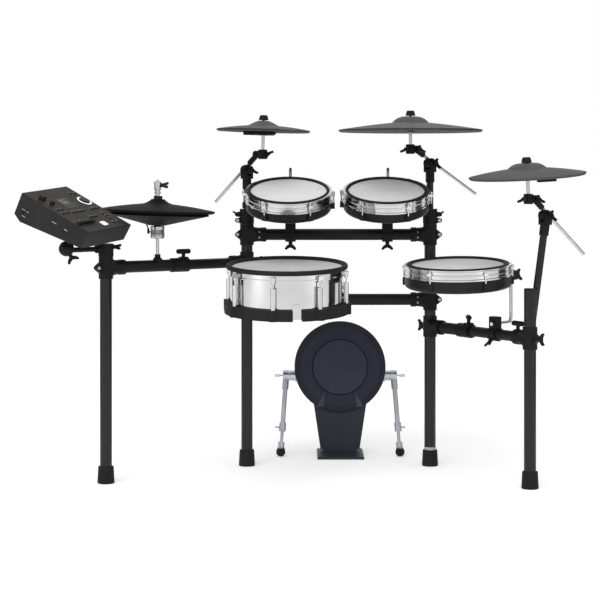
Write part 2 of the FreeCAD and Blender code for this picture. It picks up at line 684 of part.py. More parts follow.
def rack(left, right):
    add("center_legs", leg(left, CENTER_LEG_TOP), leg(right, CENTER_LEG_TOP))
    add("center_feet", foot(left), foot(right))
    for z in (UPPER_BAR_Z, LOWER_BAR_Z):
        add("crossbars", pipe(left + X * ARM_START + Z * z, right - X * ARM_START + Z * z, PIPE_R, PIPE_WALL))
        for base, side in ((left, 1), (right, -1)):
            add("rack_clamps", *put_all(t_clamp(PIPE_R, False), frame(base + Z * z, Z, X * side)))
    for base, side in ((left, 1), (right, -1)):
        add("rack_clamps", *put_all(split_collar(CENTER_LEG_TOP, COLLAR_H, POST_R, (-10.5, -30.5), side),
                                    frame(base, Z, X * side)))


def post_under(eye, axis, base, wing):
    # A cymbal post from inside a leg up to the yoke that holds a boom's eye.
    casting, pin, top = yoke(eye, axis, Z, wing)
    post_top = top.z - 6.0
    start = V(base.x, base.y, CENTER_LEG_TOP - POST_LAP)
    end = V(base.x, base.y, post_top)
    casting = casting.cut(rod(V(base.x, base.y, top.z - SOCKET_H - 1), end + Z * FIT, POST_R + FIT))
    return [pipe(start, end, POST_R, POST_WALL), casting, pin]


def snare(snare_x):
    place = FreeCAD.Placement(V(snare_x, SNARE_Y, SNARE_Z), FreeCAD.Rotation(X, SNARE_TILT))
    base = SNARE_RIM_UP - SNARE_DEPTH
    hoop_top = base + BASE_HOOP_H
    inside = SNARE_R - SNARE_WALL
    band_top = -SNARE_RIM_DOWN - FIT
    band_low = band_top - SNARE_BAND_H
    band_r = SNARE_R + SNARE_BAND_OUT
    shell = turned([(inside, base + 4), (SNARE_R, base + 4), (SNARE_R, band_low), (band_r, band_low),
                    (band_r, band_low + 3), (band_r - 1.5, band_low + 5), (band_r - 1.5, band_top),
                    (SNARE_HEAD_R - 1, band_top), (SNARE_HEAD_R - 1, -HEAD_T - FIT),
                    (SNARE_HEAD_R - 6, -HEAD_T - FIT), (SNARE_HEAD_R - 6, -SNARE_RIM_DOWN - 3),
                    (inside, -12)])
    bar = box(-inside + FIT, inside - FIT, -18, 18, -64,
              -60).common(Part.makeCylinder(inside - FIT, 200, V(0, 0, -150)))
    cone = Part.makeCone(32, 15, 60 - HEAD_T - FIT, V(0, 0, -60))
    rim = turned([(SNARE_HEAD_R, -SNARE_RIM_DOWN), (SNARE_RIM_R - 2, -SNARE_RIM_DOWN),
                  ((SNARE_RIM_R, (SNARE_RIM_UP - SNARE_RIM_DOWN) / 2), (SNARE_RIM_R - 2, SNARE_RIM_UP - 2)),
                  ((SNARE_RIM_R - 7, SNARE_RIM_UP), (SNARE_RIM_R - 11, SNARE_RIM_UP - 2)), (SNARE_HEAD_R, 2)])
    add("snare_rim", put(rim, place))
    add("snare_head", put(Part.makeCylinder(SNARE_HEAD_R - FIT, HEAD_T, V(0, 0, -HEAD_T)), place))
    hoop = turned([(SNARE_R + FIT, base), (BASE_HOOP_R, base), (BASE_HOOP_R, hoop_top - 2),
                   (BASE_HOOP_R - 2, hoop_top),
                   (SNARE_R + FIT, hoop_top)])
    lug_at = SNARE_R + SNARE_LUG_R + 2.5
    claw_top = -SNARE_RIM_DOWN - 5
    cap_low = -SNARE_RIM_DOWN - 25
    slot = box(SNARE_R, lug_at + 8, -8 - FIT, 8 + FIT, cap_low - FIT, claw_top + FIT)
    bumps = []
    for k in range(SNARE_LUGS):
        angle = SNARE_LUG_PHASE + 360.0 / SNARE_LUGS * k
        turn = FreeCAD.Placement(V(), FreeCAD.Rotation(Z, angle - 90))
        bumps.append(put(Part.makeCylinder(BASE_BUMP_R, BASE_HOOP_H, V(lug_at + 1.5, 0, base)), turn))
        foot_z = hoop_top + FIT
        tube = Part.makeCylinder(SNARE_LUG_R, SNARE_LUG_L, V(lug_at, 0, foot_z))
        tension = Part.makeCylinder(TENSION_R, -SNARE_RIM_DOWN - 3 - foot_z, V(lug_at, 0, foot_z))
        claw = box(SNARE_R + FIT, lug_at + 7, -8, 8, claw_top - 11, claw_top)
        cap = Part.makeCylinder(5.5, 9, V(lug_at, 0, cap_low))
        shell = shell.cut(put(slot, turn))
        spacers = [rod(V(SNARE_R + FIT, 0, foot_z + z), V(lug_at, 0, foot_z + z), 4.0)
                   for z in (SNARE_LUG_L * 0.25, SNARE_LUG_L * 0.75)]
        add("snare_lugs", put(put(join(tube, tension, claw, cap, *spacers), turn), place))
    hoop = join(hoop, *bumps)
    hoop = hoop.cut(Part.makeCylinder(SNARE_R + FIT, SNARE_DEPTH, V(0, 0, base - 1)))
    notch = box(SNARE_R - 5, BASE_HOOP_R + 20, -NOTCH_W / 2, NOTCH_W / 2, base - 1, hoop_top + 1)
    notch_turn = FreeCAD.Placement(V(), FreeCAD.Rotation(Z, NOTCH_ANGLE - 90))
    notch = put(notch, notch_turn)
    tab_w = NOTCH_W / 2 - 1.0
    tab = box(SNARE_R - SNARE_WALL / 2, SNARE_R + NOTCH_TAB_T, -tab_w, tab_w, base + 4,
              hoop_top + NOTCH_TAB_UP)
    tab = tab.makeFillet(7.0, [e for e in tab.Edges if e.BoundBox.ZMin > hoop_top and e.BoundBox.XLength > 1.0])
    shell = join(shell, put(tab, notch_turn))
    add("snare_shell", *put_all([shell, bar, cone], place))
    cover = Part.makeCylinder(inside - FIT, SNARE_COVER_T, V(0, 0, base + 4))
    add("snare_base_hoop", put(hoop.cut(notch), place), put(cover, place))

    # The arm that carries the snare from the lower crossbar, behind the shell.
    arm_z = LOWER_BAR_Z + SNARE_ARM_RISE
    tower = box(-13, 13, -12, 12, PIPE_R, SNARE_ARM_RISE + 12)
    casting, wing = pipe_clamp(PIPE_R, [tower], Y)
    at = V(snare_x, 0, LOWER_BAR_Z)
    casting.translate(at)
    wing.translate(at)
    back = SNARE_Y + SNARE_R
    front_end = V(snare_x, back + 12, arm_z)
    arm = rod(V(snare_x, 16, arm_z), front_end, SNARE_ARM_R)
    casting = casting.cut(rod(V(snare_x, 30, arm_z), V(snare_x, -30, arm_z), SNARE_ARM_R + FIT))
    drop = arm_z - SNARE_Z
    block = box(-17, 17, SNARE_R - 12, SNARE_R + 26, drop - 20, drop + 20)
    block = block.cut(Part.makeCylinder(SNARE_R + FIT, 300, V(0, 0, -200)))
    block = put(block, place).cut(rod(front_end - Y * FIT, front_end + Y * 60, SNARE_ARM_R + FIT))
    add("snare_arm", casting, wing, arm, block)


def rack_tom(name, x):
    place = FreeCAD.Placement(V(x, TOM_Y, TOM_Z), FreeCAD.Rotation(X, TOM_TILT))
    parts = drum(TOM, TOM_LUG_PHASE[name])
    rod_at = TOM["rim_r"] + TOM_ROD_OUT
    aside = TOM_ROD_ASIDE[name]
    bracket = box(aside - 17, aside + 17, parts["out"] - 8, rod_at + 13, parts["low"] + 8, parts["top"] - 3)
    bore = Part.makeCylinder(TOM_ROD_R + FIT, 300, V(aside, rod_at, -200))
    shell = join(parts["shell"], bracket).cut(bore)
    seat = frame(V(aside, rod_at + 13, (parts["low"] + parts["top"]) / 2), Y, X)
    shell = shell.cut(put(drill(6.0), seat))
    add(name + "_shell", *put_all([shell, parts["cone"], put(wing_bolt(5.0), seat)], place))
    add(name + "_hoop", *put_all([parts["hoop"]] + parts["rods"], place))
    add(name + "_head", *put_all([parts["head"], parts["rim"]], place))

    # The rod leans with the pad down to a clamp on the upper crossbar.
    axis = place.Rotation.multVec(Z)
    at_head = place.multVec(V(aside, rod_at, 0))
    down = (at_head.z - UPPER_BAR_Z) / axis.z
    top = at_head + axis * TOM_ROD_UP
    foot_end = at_head - axis * (down + 10)
    bar = V(x + aside, 0, UPPER_BAR_Z)
    boss = rod(at_head - axis * (down + 12), at_head - axis * (down - 50), TOM_ROD_R + 7)
    boss.translate(bar * -1)
    web = box(-PIPE_CLAMP_W / 2, PIPE_CLAMP_W / 2, -PIPE_R - CLAMP_WALL, PIPE_R + 4, 0, PIPE_R + 22)
    casting, wing = pipe_clamp(PIPE_R, [boss, web], -Z)
    casting.translate(bar)
    wing.translate(bar)
    casting = casting.cut(rod(foot_end - axis * FIT, top, TOM_ROD_R + FIT))
    add(name + "_mount", casting, wing, rod(foot_end, top, TOM_ROD_R))
    joint(name + "_tilt", bar, X)


def floor_tom(center, arm_dir, leg_base):
    tilt = FreeCAD.Rotation(Y, FLOOR_TOM_ROLL).multiply(FreeCAD.Rotation(X, FLOOR_TOM_TILT))
    place = FreeCAD.Placement(V(center.x, center.y, FLOOR_TOM_Z), tilt)
    parts = drum(FLOOR_TOM, FLOOR_LUG_PHASE)
    # The bracket stands between two lugs on the far right; its bore is vertical.
    angle = FLOOR_ROD_ANGLE - 90
    rod_at = FLOOR_TOM["rim_r"] + FLOOR_ROD_OUT
    turn = FreeCAD.Placement(V(), FreeCAD.Rotation(Z, angle))
    bracket_end = rod_at + FLOOR_BRACKET_OUT
    bracket = box(parts["out"] - 6, bracket_end, -15, 15, parts["low"] + 6, parts["top"] - 3)
    seat = frame(V(bracket_end, 0, (parts["low"] + parts["top"]) / 2), X, Y * 0.4 + Z)
    bracket = put(bracket.cut(put(drill(6.0), seat)), turn)
    bolt = put(put(wing_bolt(5.0), seat), turn)
    upright = V(center.x, center.y, 0) + polar(rod_at, angle)
    shell = put(join(parts["shell"], bracket), place)
    rod_top = FLOOR_TOM_Z + parts["top"] - 8
    bend_z = RIGHT_ARM_Z + FLOOR_ROD_RISE
    shell = shell.cut(rod(upright + Z * bend_z, upright + Z * (rod_top + FIT), BOOM_R + RUN))
    add("floor_tom_shell", shell, put(parts["cone"], place), put(bolt, place))
    add("floor_tom_hoop", *put_all([parts["hoop"]] + parts["rods"], place))
    add("floor_tom_head", *put_all([parts["head"], parts["rim"]], place))
    joint("floor_tom_swivel", upright + Z * rod_top, Z)

    # The L-rod: upright under the bracket, then level to a clamp on the right arm's inner tube.
    clamp = leg_base + arm_dir * FLOOR_CLAMP_AT
    level = unit(V(clamp.x - upright.x, clamp.y - upright.y, 0))
    corner = upright + Z * bend_z
    end = V(clamp.x, clamp.y, bend_z) + level * 22
    bend_start = corner + Z * FLOOR_ROD_BEND
    bend_end = corner + level * FLOOR_ROD_BEND
    bend_mid = corner + (level + Z) * (FLOOR_ROD_BEND * (1 - math.sqrt(0.5)))
    path = Part.Wire([Part.makeLine(upright + Z * rod_top, bend_start),
                      Part.Arc(bend_start, bend_mid, bend_end).toShape(), Part.makeLine(bend_end, end)])
    section = Part.Wire(Part.makeCircle(BOOM_R, upright + Z * rod_top, Z))
    add("floor_tom_rod", path.makePipeShell([section], True, False))
    at = clamp + Z * RIGHT_ARM_Z
    turn = frame(at, Z, arm_dir)
    inverse = turn.inverse()
    start = inverse.multVec(V(clamp.x, clamp.y, bend_z) - level * 20)
    stop = inverse.multVec(V(clamp.x, clamp.y, bend_z) + level * 20)
    half_w = FLOOR_BLOCK_W / 2
    block = box(-PIPE_CLAMP_W / 2, PIPE_CLAMP_W / 2, -half_w, half_w, 0, FLOOR_BLOCK_H)
    block = block.makeFillet(3.0, [e for e in block.Edges if e.BoundBox.ZMin > 1.0 or e.BoundBox.ZLength > 1.0])
    casting, wing = pipe_clamp(INNER_R, [block, rod(start, stop, BOOM_R + 6)], unit(-Y - Z))
    casting = put(casting, turn).cut(rod(bend_end, end + level, BOOM_R + FIT))
    add("right_stand_clamps", casting, put(wing, turn))


def hihat(arm_dir, leg_base):
    axis = leg_base + arm_dir * HIHAT_AT
    at = axis + Z * LEFT_ARM_Z
    # A short post stands on a saddle on the sleeve and carries the sensor.
    neck_r = HIHAT_POST_R + 4.0
    saddle = turned([(0, 0), (HIHAT_SADDLE_R, 0), (HIHAT_SADDLE_R, PIPE_R + 4), (neck_r, PIPE_R + 8),
                     (neck_r, PIPE_R + HIHAT_SADDLE_UP), (0, PIPE_R + HIHAT_SADDLE_UP)])
    saddle = saddle.cut(rod(V(-40, 0, 0), V(40, 0, 0), PIPE_R + FIT))
    post_foot = PIPE_R + 5.0
    saddle = saddle.cut(Part.makeCylinder(HIHAT_POST_R + FIT, 60, V(0, 0, post_foot)))
    post = rod(at + Z * (post_foot + FIT), axis + Z * SENSOR_Z, HIHAT_POST_R)
    add("left_stand_clamps", put(saddle, frame(at, Z, arm_dir)), post)
    groove = SENSOR_H * 0.55
    sensor = turned([(0, 0), (SENSOR_R - 2, 0), (SENSOR_R, 2), (SENSOR_R, groove - 6),
                     (SENSOR_R - 1, groove - 5),
                     (SENSOR_R - 1, groove + 5), (SENSOR_R, groove + 6), (SENSOR_R, SENSOR_H - 2),
                     (SENSOR_R - 2, SENSOR_H), (PULL_ROD_R + FIT, SENSOR_H), (PULL_ROD_R + FIT, 8), (0, 8)])
    sensor.translate(axis + Z * SENSOR_Z)
    tilt = FreeCAD.Placement(axis + Z * HIHAT_RIM_Z, FreeCAD.Rotation(Y, HIHAT_TILT))
    bottom_low = SENSOR_Z + SENSOR_H + 2.0 - HIHAT_RIM_Z
    hole = PULL_ROD_R + 3.0
    wide = PULL_ROD_R + 5.5
    bottom = turned([(hole, bottom_low), (26, bottom_low),
                     ((70, bottom_low + 11), (HIHAT_LOW_R - 16, -HIHAT_GAP - 9)),
                     (HIHAT_LOW_R, -HIHAT_GAP - 5), (HIHAT_LOW_R - 2, -HIHAT_GAP),
                     (HIHAT_LOW_R - 30, -HIHAT_GAP - 2),
                     (hole, bottom_low + 14)])
    seat = turned([(PULL_ROD_R + FIT, 0), (12, 0), (12, 3.0), (PULL_ROD_R + FIT, 3.0)])
    seat.translate(axis + Z * (SENSOR_Z + SENSOR_H))
    bottom = put(bottom, tilt).cut(rod(axis + Z * (SENSOR_Z + SENSOR_H - 1),
                                       axis + Z * (SENSOR_Z + SENSOR_H + 3 + FIT),
                                       12 + FIT))
    add("hihat_bottom", bottom, seat)

    # The lead from the lower pad's underside to its plug in the sensor's side.
    plug_z = SENSOR_Z + LEAD_PLUG_Z
    plug_in = axis + Z * plug_z - X * (SENSOR_R - 4.0)
    plug_out = axis + Z * plug_z - X * LEAD_OUT
    rise = plug_out + Z * 8.0
    top_end = axis + Z * (SENSOR_Z + SENSOR_H + 18.0) - X * LEAD_PAD_OUT
    bend = (rise + top_end) * 0.5 + X * 2.5
    path = Part.Wire([Part.makeLine(plug_out, rise), Part.Arc(rise, bend, top_end).toShape()])
    lead = path.makePipeShell([Part.Wire(Part.makeCircle(LEAD_R, plug_out, Z))], True, False)
    plug = rod(plug_out - Z * 6.0, plug_out + Z * 12.0, LEAD_PLUG_R)
    pin = rod(plug_out, plug_in, LEAD_R)
    sensor = sensor.cut(rod(plug_out, plug_in + X, LEAD_R + FIT))
    lead = join(lead, plug, pin)
    for step in (0.0, 0.5, 1.0):
        raised = bottom.copy()
        raised.translate(Z * -FIT * step)
        lead = lead.cut(raised)
    add("hihat_sensor", sensor, max(lead.Solids, key=lambda solid: solid.Volume))

    r = HIHAT_R
    pad = turned([(r - RIM_BEVEL, 0), (r, RIM_T * 0.6), (r - 1, RIM_T),
                  (((r + 54) / 2, (RIM_T + 27) / 2 + 1.5), (54, 27)), ((35, 32.5), (21, 43)), (wide, 43),
                  (wide, 36),
                  (24, 36), (53, 20), (r - 30, 1.5), (r - 26, 0)])
    add("hihat_top", put(pad, tilt))
    joint("hihat_open", axis + Z * HIHAT_RIM_Z, Z)
    felt_z = HIHAT_RIM_Z + 43 + 1.0
    pull = rod(axis + Z * (SENSOR_Z + 20), axis + Z * (felt_z + 62), PULL_ROD_R)
    clutch = turned([(PULL_ROD_R - 0.5, 10), (8, 10), (8, 17), (CLUTCH_R, 17), (CLUTCH_R, 21), (9, 22),
                     (9, 28),
                     (CLUTCH_R, 29), (CLUTCH_R, 54), (9, 57), (PULL_ROD_R - 0.5, 57)])
    clutch.translate(axis + Z * felt_z)
    felt = put(Part.makeCylinder(14, 10.2, V(0, 0, 43.1)), tilt)
    felt = felt.cut(rod(axis + Z * SENSOR_Z, axis + Z * (felt_z + 62), PULL_ROD_R + FIT))
    seat = frame(axis + Z * (felt_z + 44) + X * CLUTCH_R, X, Y + Z * 0.4)
    sleeve = turned([(PULL_ROD_R + FIT, -7), (PULL_ROD_R + 2.2, -7), (PULL_ROD_R + 2.2, -1.2),
                     (PULL_ROD_R + FIT, -1.2)])
    sleeve.translate(axis + Z * felt_z)
    clutch = join(pull, clutch)
    screw = put(wing_bolt(4.0), seat)
    clutch = clutch.cut(put(drill(5.0), seat))
    add("hihat_clutch", clutch, screw, felt, sleeve)


def left_wing(leg_base):
    arm_dir = polar(1.0, LEFT_YAW)
    outer = leg_base + arm_dir * LEFT_REACH
    height = Z * LEFT_ARM_Z
    add("left_arm_clamp", *put_all(t_clamp(INNER_R, True), frame(leg_base + height, Z, arm_dir)))
    lap_end = LEFT_COLLAR_AT + TELESCOPE_LAP
    add("left_arm_tube", pipe(leg_base + arm_dir * (ARM_START + FIT) + height,
                              leg_base + arm_dir * lap_end + height,
                              INNER_R, INNER_WALL))
    joint("left_arm_swing", leg_base + height, Z)
    add("left_stand_pipes", leg(outer, LEFT_LEG_TOP),
        pipe(leg_base + arm_dir * LEFT_COLLAR_AT + height, outer - arm_dir * (ARM_START + FIT) + height,
             PIPE_R,
             PIPE_WALL))
    add("left_stand_clamps", *put_all(t_clamp(PIPE_R, False), frame(outer + height, Z, arm_dir * -1)))
    collar_at = leg_base + arm_dir * LEFT_COLLAR_AT + height
    add("left_stand_clamps", *put_all(telescope_collar(X), frame(collar_at, Z, arm_dir)))
    add("left_foot", foot(outer))
    joint("left_arm_extend", collar_at, arm_dir)
    hihat(arm_dir, leg_base)
    module(outer)


def module(leg_xy):
    turn = FreeCAD.Rotation(Z, MODULE_YAW).multiply(FreeCAD.Rotation(Y, MODULE_DIP)).multiply(
        FreeCAD.Rotation(X, MODULE_PITCH))
    place = FreeCAD.Placement(leg_xy + MODULE_FROM_LEG + Z * MODULE_Z, turn)
    half_w = MODULE_W / 2
    half_d = MODULE_D / 2
    toe_x = -half_w + MODULE_TOE
    heel_x = half_w - MODULE_RAKE
    fall = (MODULE_LEFT_H - MODULE_RIGHT_H) / (heel_x - toe_x)
    case = slab([(-half_w, -PANEL_T - FIT), (half_w, -PANEL_T - FIT), (heel_x, -MODULE_RIGHT_H),
                 (toe_x, -MODULE_LEFT_H),
                 (-half_w, -MODULE_TOE_H)], -half_d, half_d)
    wall = MODULE_WALL
    inner = slab([(-half_w + wall, 0), (half_w - wall, 0), (heel_x - wall, -MODULE_RIGHT_H + wall),
                  (toe_x + 4, -MODULE_LEFT_H + wall), (-half_w + wall, -MODULE_TOE_H + wall)],
                 -half_d + wall, half_d - wall)
    case = case.cut(inner)
    front = -half_d
    for x, radius in JACKS.items():
        case = case.cut(rod(V(x, front - 5, JACK_Z), V(x, front + 10, JACK_Z), radius))
    case = case.cut(box(CARD_SLOT.x, CARD_SLOT.y, front - 5, front + 1.2, CARD_SLOT.z,
                        CARD_SLOT.z + CARD_SLOT_H))
    plate = []
    for x, side in ((BALL_PLACE.x - BALL_PLATE_HALF.x, 1), (BALL_PLACE.x + BALL_PLATE_HALF.x, -1)):
        under = -MODULE_LEFT_H + (x - toe_x) * fall - FIT
        plate.extend([(x, under), (x, under - BALL_PLATE_T)][::side])
    plate = slab(plate, BALL_PLACE.y - BALL_PLATE_HALF.y, BALL_PLACE.y + BALL_PLATE_HALF.y)
    under = -MODULE_LEFT_H + (BALL_PLACE.x - toe_x) * fall - FIT
    ball = Part.makeSphere(BALL_R, BALL_PLACE)
    neck = rod(BALL_PLACE, V(BALL_PLACE.x, BALL_PLACE.y, under - 2), NECK_ROD_R)
    flange = Part.makeCone(NECK_ROD_R, 18, 12, V(BALL_PLACE.x, BALL_PLACE.y, under - 16))
    add("module_case", put(case, place), put(join(plate, neck, ball, flange), place))
    for x in JACKS:
        joint("jack" + str(JACKS[x]), place.multVec(V(x, front + wall / 2, JACK_Z)), turn.multVec(Y * -1))

    panel = box(-half_w, half_w, -half_d, half_d, -PANEL_T, 0)
    panel = panel.makeFillet(2.0, [e for e in panel.Edges if e.BoundBox.ZMin > -0.01])
    low = SCREEN_LOW
    high = SCREEN_HIGH
    screen = box(low.x, high.x, low.y, high.y, low.z, high.z)
    panel = panel.cut(box(low.x - FIT, high.x + FIT, low.y - FIT, high.y + FIT, low.z, 5))
    ring = turned([(RING_IN, low.z), (RING_OUT, low.z), (RING_OUT, 0.4), ((RING_IN + RING_OUT) / 2, 1.4),
                   (RING_IN, 0.4)])
    ring.translate(KNOBS["dial"][0])
    panel = panel.cut(Part.makeCylinder(RING_OUT + FIT, 6, KNOBS["dial"][0] + Z * low.z))
    add("module_screen", put(screen, place), put(ring, place))
    for name, (spot, radius, height) in KNOBS.items():
        panel = panel.cut(Part.makeCylinder(3 + FIT, 10, spot - Z * 5))
        cap = turned([(0, 0.4), (radius, 0.4), (radius, 3), (radius - 1.5, height - 1.5),
                      (radius - 3, height), (0, height)])
        if name == "dial":
            cap = cap.cut(Part.makeSphere(9.0, V(0, 10.5, height + 6.5)))
        else:
            cap = cap.cut(box(-0.8, 0.8, radius - 7, radius + 2, height - 1.0, height + 1))
        cap = join(cap, Part.makeCylinder(3, 12, V(0, 0, -9)))
        cap.translate(spot)
        add(name, put(cap, place))
        joint(name, place.multVec(spot), turn.multVec(Z))

    spots = [(start + step * k, BUTTON_W, BUTTON_L) for start, step,
             count in BUTTON_ROWS for k in range(count)]
    spots.append((PAD_BUTTON, PAD_BUTTON_W, PAD_BUTTON_L))
    for spot, width, length in spots:
        hole = box(-width / 2 - FIT, width / 2 + FIT, -length / 2 - FIT, length / 2 + FIT, -5, 5)
        hole.translate(spot)
        panel = panel.cut(hole)
        cap = box(-width / 2, width / 2, -length / 2, length / 2, -7, BUTTON_UP)
        cap = cap.makeFillet(1.0, [e for e in cap.Edges if e.BoundBox.ZMin > BUTTON_UP - 0.01])
        cap.translate(spot)
        add("panel_buttons", put(cap, place))
    joint("panel_buttons", place.multVec(V()), turn.multVec(Z * -1))
    for k in range(FADER_COUNT):
        spot = V(FADER_X, FADER_FRONT + FADER_PITCH * k, 0)
        panel = panel.cut(box(spot.x - FADER_SLOT / 2, spot.x + FADER_SLOT / 2, spot.y - 1.5, spot.y + 1.5,
                              -5, 5))
        cap = slab([(-5, 0.4), (5, 0.4), (4, 9), ((0, 7.2), (-4, 9))], -4, 4)
        cap = join(cap, box(-2, 2, -1, 1, -7, 1))
        cap.translate(spot)
        add("faders", put(cap, place))
    joint("faders", place.multVec(V(FADER_X, -60, 0)), turn.multVec(X))
    add("module_panel", put(panel, place))

    # The ball housing and its rod, held by the collar on the left leg's top.
    ball_at = place.multVec(BALL_PLACE)
    up = turn.multVec(Z)
    housing = Part.makeSphere(BALL_R + HOUSING_WALL, ball_at)
    rod_z = LEFT_LEG_TOP - MOUNT_ROD_DROP
    start = leg_xy + Z * rod_z
    aim = unit(V(ball_at.x - start.x, ball_at.y - start.y, 0))
    reach = PIPE_R + CLAMP_WALL + 1.0
    end = V(ball_at.x, ball_at.y, rod_z)
    arm = rod(start + aim * (reach + FIT), end, MOUNT_ROD_R)
    housing = join(housing, arm)
    mouth = Part.makeCone(6.0, 34.0, 34.0, ball_at, up)
    housing = housing.cut(Part.makeSphere(BALL_R + FIT, ball_at)).cut(mouth)
    seat = frame(ball_at + unit(BALL_SCREW) * (BALL_R + HOUSING_WALL), BALL_SCREW, X)
    housing = housing.cut(put(drill(4.0), seat))
    add("left_stand_clamps", housing, put(wing_bolt(3.0), seat))
    joint("module_tilt", ball_at, turn.multVec(X))
    collar = split_collar(LEFT_LEG_TOP, MODULE_COLLAR_H, 0, (), 0)[0]
    boss = rod(start, start + aim * (reach + 14), MOUNT_ROD_R + 5)
    collar = put(collar, FreeCAD.Placement(leg_xy, FreeCAD.Rotation()))
    bore = Part.makeCylinder(PIPE_R + FIT, MODULE_COLLAR_H + 1.0 + FIT,
                             leg_xy + Z * (LEFT_LEG_TOP - MODULE_COLLAR_H - 1.0))
    collar = join(collar, boss).cut(bore).cut(rod(start, start + aim * 200, MOUNT_ROD_R + FIT))
    wing_seat = frame(leg_xy + Z * (rod_z + 6) + X * reach, X, Y + Z * 0.3)
    collar = collar.cut(put(drill(4.0), wing_seat))
    add("left_stand_clamps", collar, put(wing_bolt(3.0), wing_seat))


def right_wing(leg_base):
    arm_dir = polar(1.0, RIGHT_YAW)
    outer = leg_base + arm_dir * RIGHT_REACH
    height = Z * RIGHT_ARM_Z
    add("right_arm_clamp", *put_all(t_clamp(PIPE_R, True), frame(leg_base + height, Z, arm_dir)))
    collar_at = leg_base + arm_dir * RIGHT_COLLAR_AT + height
    add("right_arm_clamp", *put_all(telescope_collar(RIGHT_KNOB), frame(collar_at, Z, arm_dir * -1)))
    add("right_arm_sleeve", pipe(leg_base + arm_dir * (ARM_START + FIT) + height, collar_at, PIPE_R,
                                 PIPE_WALL))
    joint("right_arm_swing", leg_base + height, Z)
    lap = max(RIGHT_COLLAR_AT - TELESCOPE_LAP, ARM_START + 40.0)
    add("right_stand_pipes", leg(outer, RIGHT_LEG_TOP),
        pipe(leg_base + arm_dir * lap + height, outer - arm_dir * (ARM_START + FIT) + height, INNER_R,
             INNER_WALL))
    clamp = t_clamp(INNER_R, True)
    seat = frame(V(BRANCH_LEN - 9.0, 0, CLAMP_R + BRANCH_RIM), Z, X)
    clamp[0] = clamp[0].cut(put(drill(4.0), seat))
    clamp.append(put(t_knob(3.0), seat))
    clamp = put_all(clamp, frame(outer + height, Z, arm_dir * -1))
    add("right_foot", foot(outer))
    cap = turned([(0, 0), (PIPE_R - PIPE_WALL - FIT, 0), (PIPE_R - PIPE_WALL - FIT, 14),
                  (PIPE_R - CAP_INSET, 14), (PIPE_R - CAP_INSET, 12 + LEG_CAP_H),
                  (PIPE_R - 2, 14 + LEG_CAP_H),
                  (0, 14 + LEG_CAP_H)])
    cap.translate(outer + Z * (RIGHT_LEG_TOP - 14))
    add("right_stand_clamps", cap)
    joint("right_arm_extend", collar_at, arm_dir)
    floor_tom(leg_base + FLOOR_TOM_FROM_LEG, arm_dir, leg_base)

    # The leaning pole, held by a socket on the back of the leg's clamp.
    lean = unit(V(math.tan(math.radians(POLE_LEAN)), 0, 1))
    base = outer + V(POLE_ASIDE, POLE_BEHIND, 0)
    rise = (CRASH_RIGHT["tilter_z"] - RIGHT_ARM_Z - POLE_TOP_DROP) / lean.z
    foot_point = base + height
    top_axis = foot_point + lean * rise
    eye, axis = cymbal("crash_right", CRASH_RIGHT, top_axis)
    casting, pin, socket_top = yoke(eye, axis, lean, CRASH_RIGHT["wing"])
    pole_top = socket_top - lean * 6.0
    slide = socket_top - lean * ((socket_top.z - RIGHT_ARM_Z) / lean.z)
    half = POLE_SLEEVE_H / 2
    pole_foot = slide - lean * (half + 8.0)
    casting = casting.cut(rod(socket_top - lean * (SOCKET_H + 1), pole_top + lean * FIT, POST_R + FIT))
    add("crash_pole", pipe(pole_foot, pole_top, POST_R, POST_WALL), casting, pin)
    behind = slide - outer - height
    socket = put(box(PIPE_R + 2, behind.Length + POST_R + 5, -POST_R - 5, POST_R + 5, -half, half),
                 frame(outer + height, Z, behind))
    socket = socket.cut(rod(slide - lean * CLAMP_H, slide + lean * CLAMP_H, POST_R + FIT))
    socket = socket.cut(rod(outer + height, collar_at, INNER_R + CLAMP_WALL))
    clamp[0] = join(clamp[0], socket)
    clamp[0] = clamp[0].cut(rod(slide - lean * CLAMP_H, slide + lean * CLAMP_H, POST_R + FIT))
    add("right_stand_clamps", *clamp)


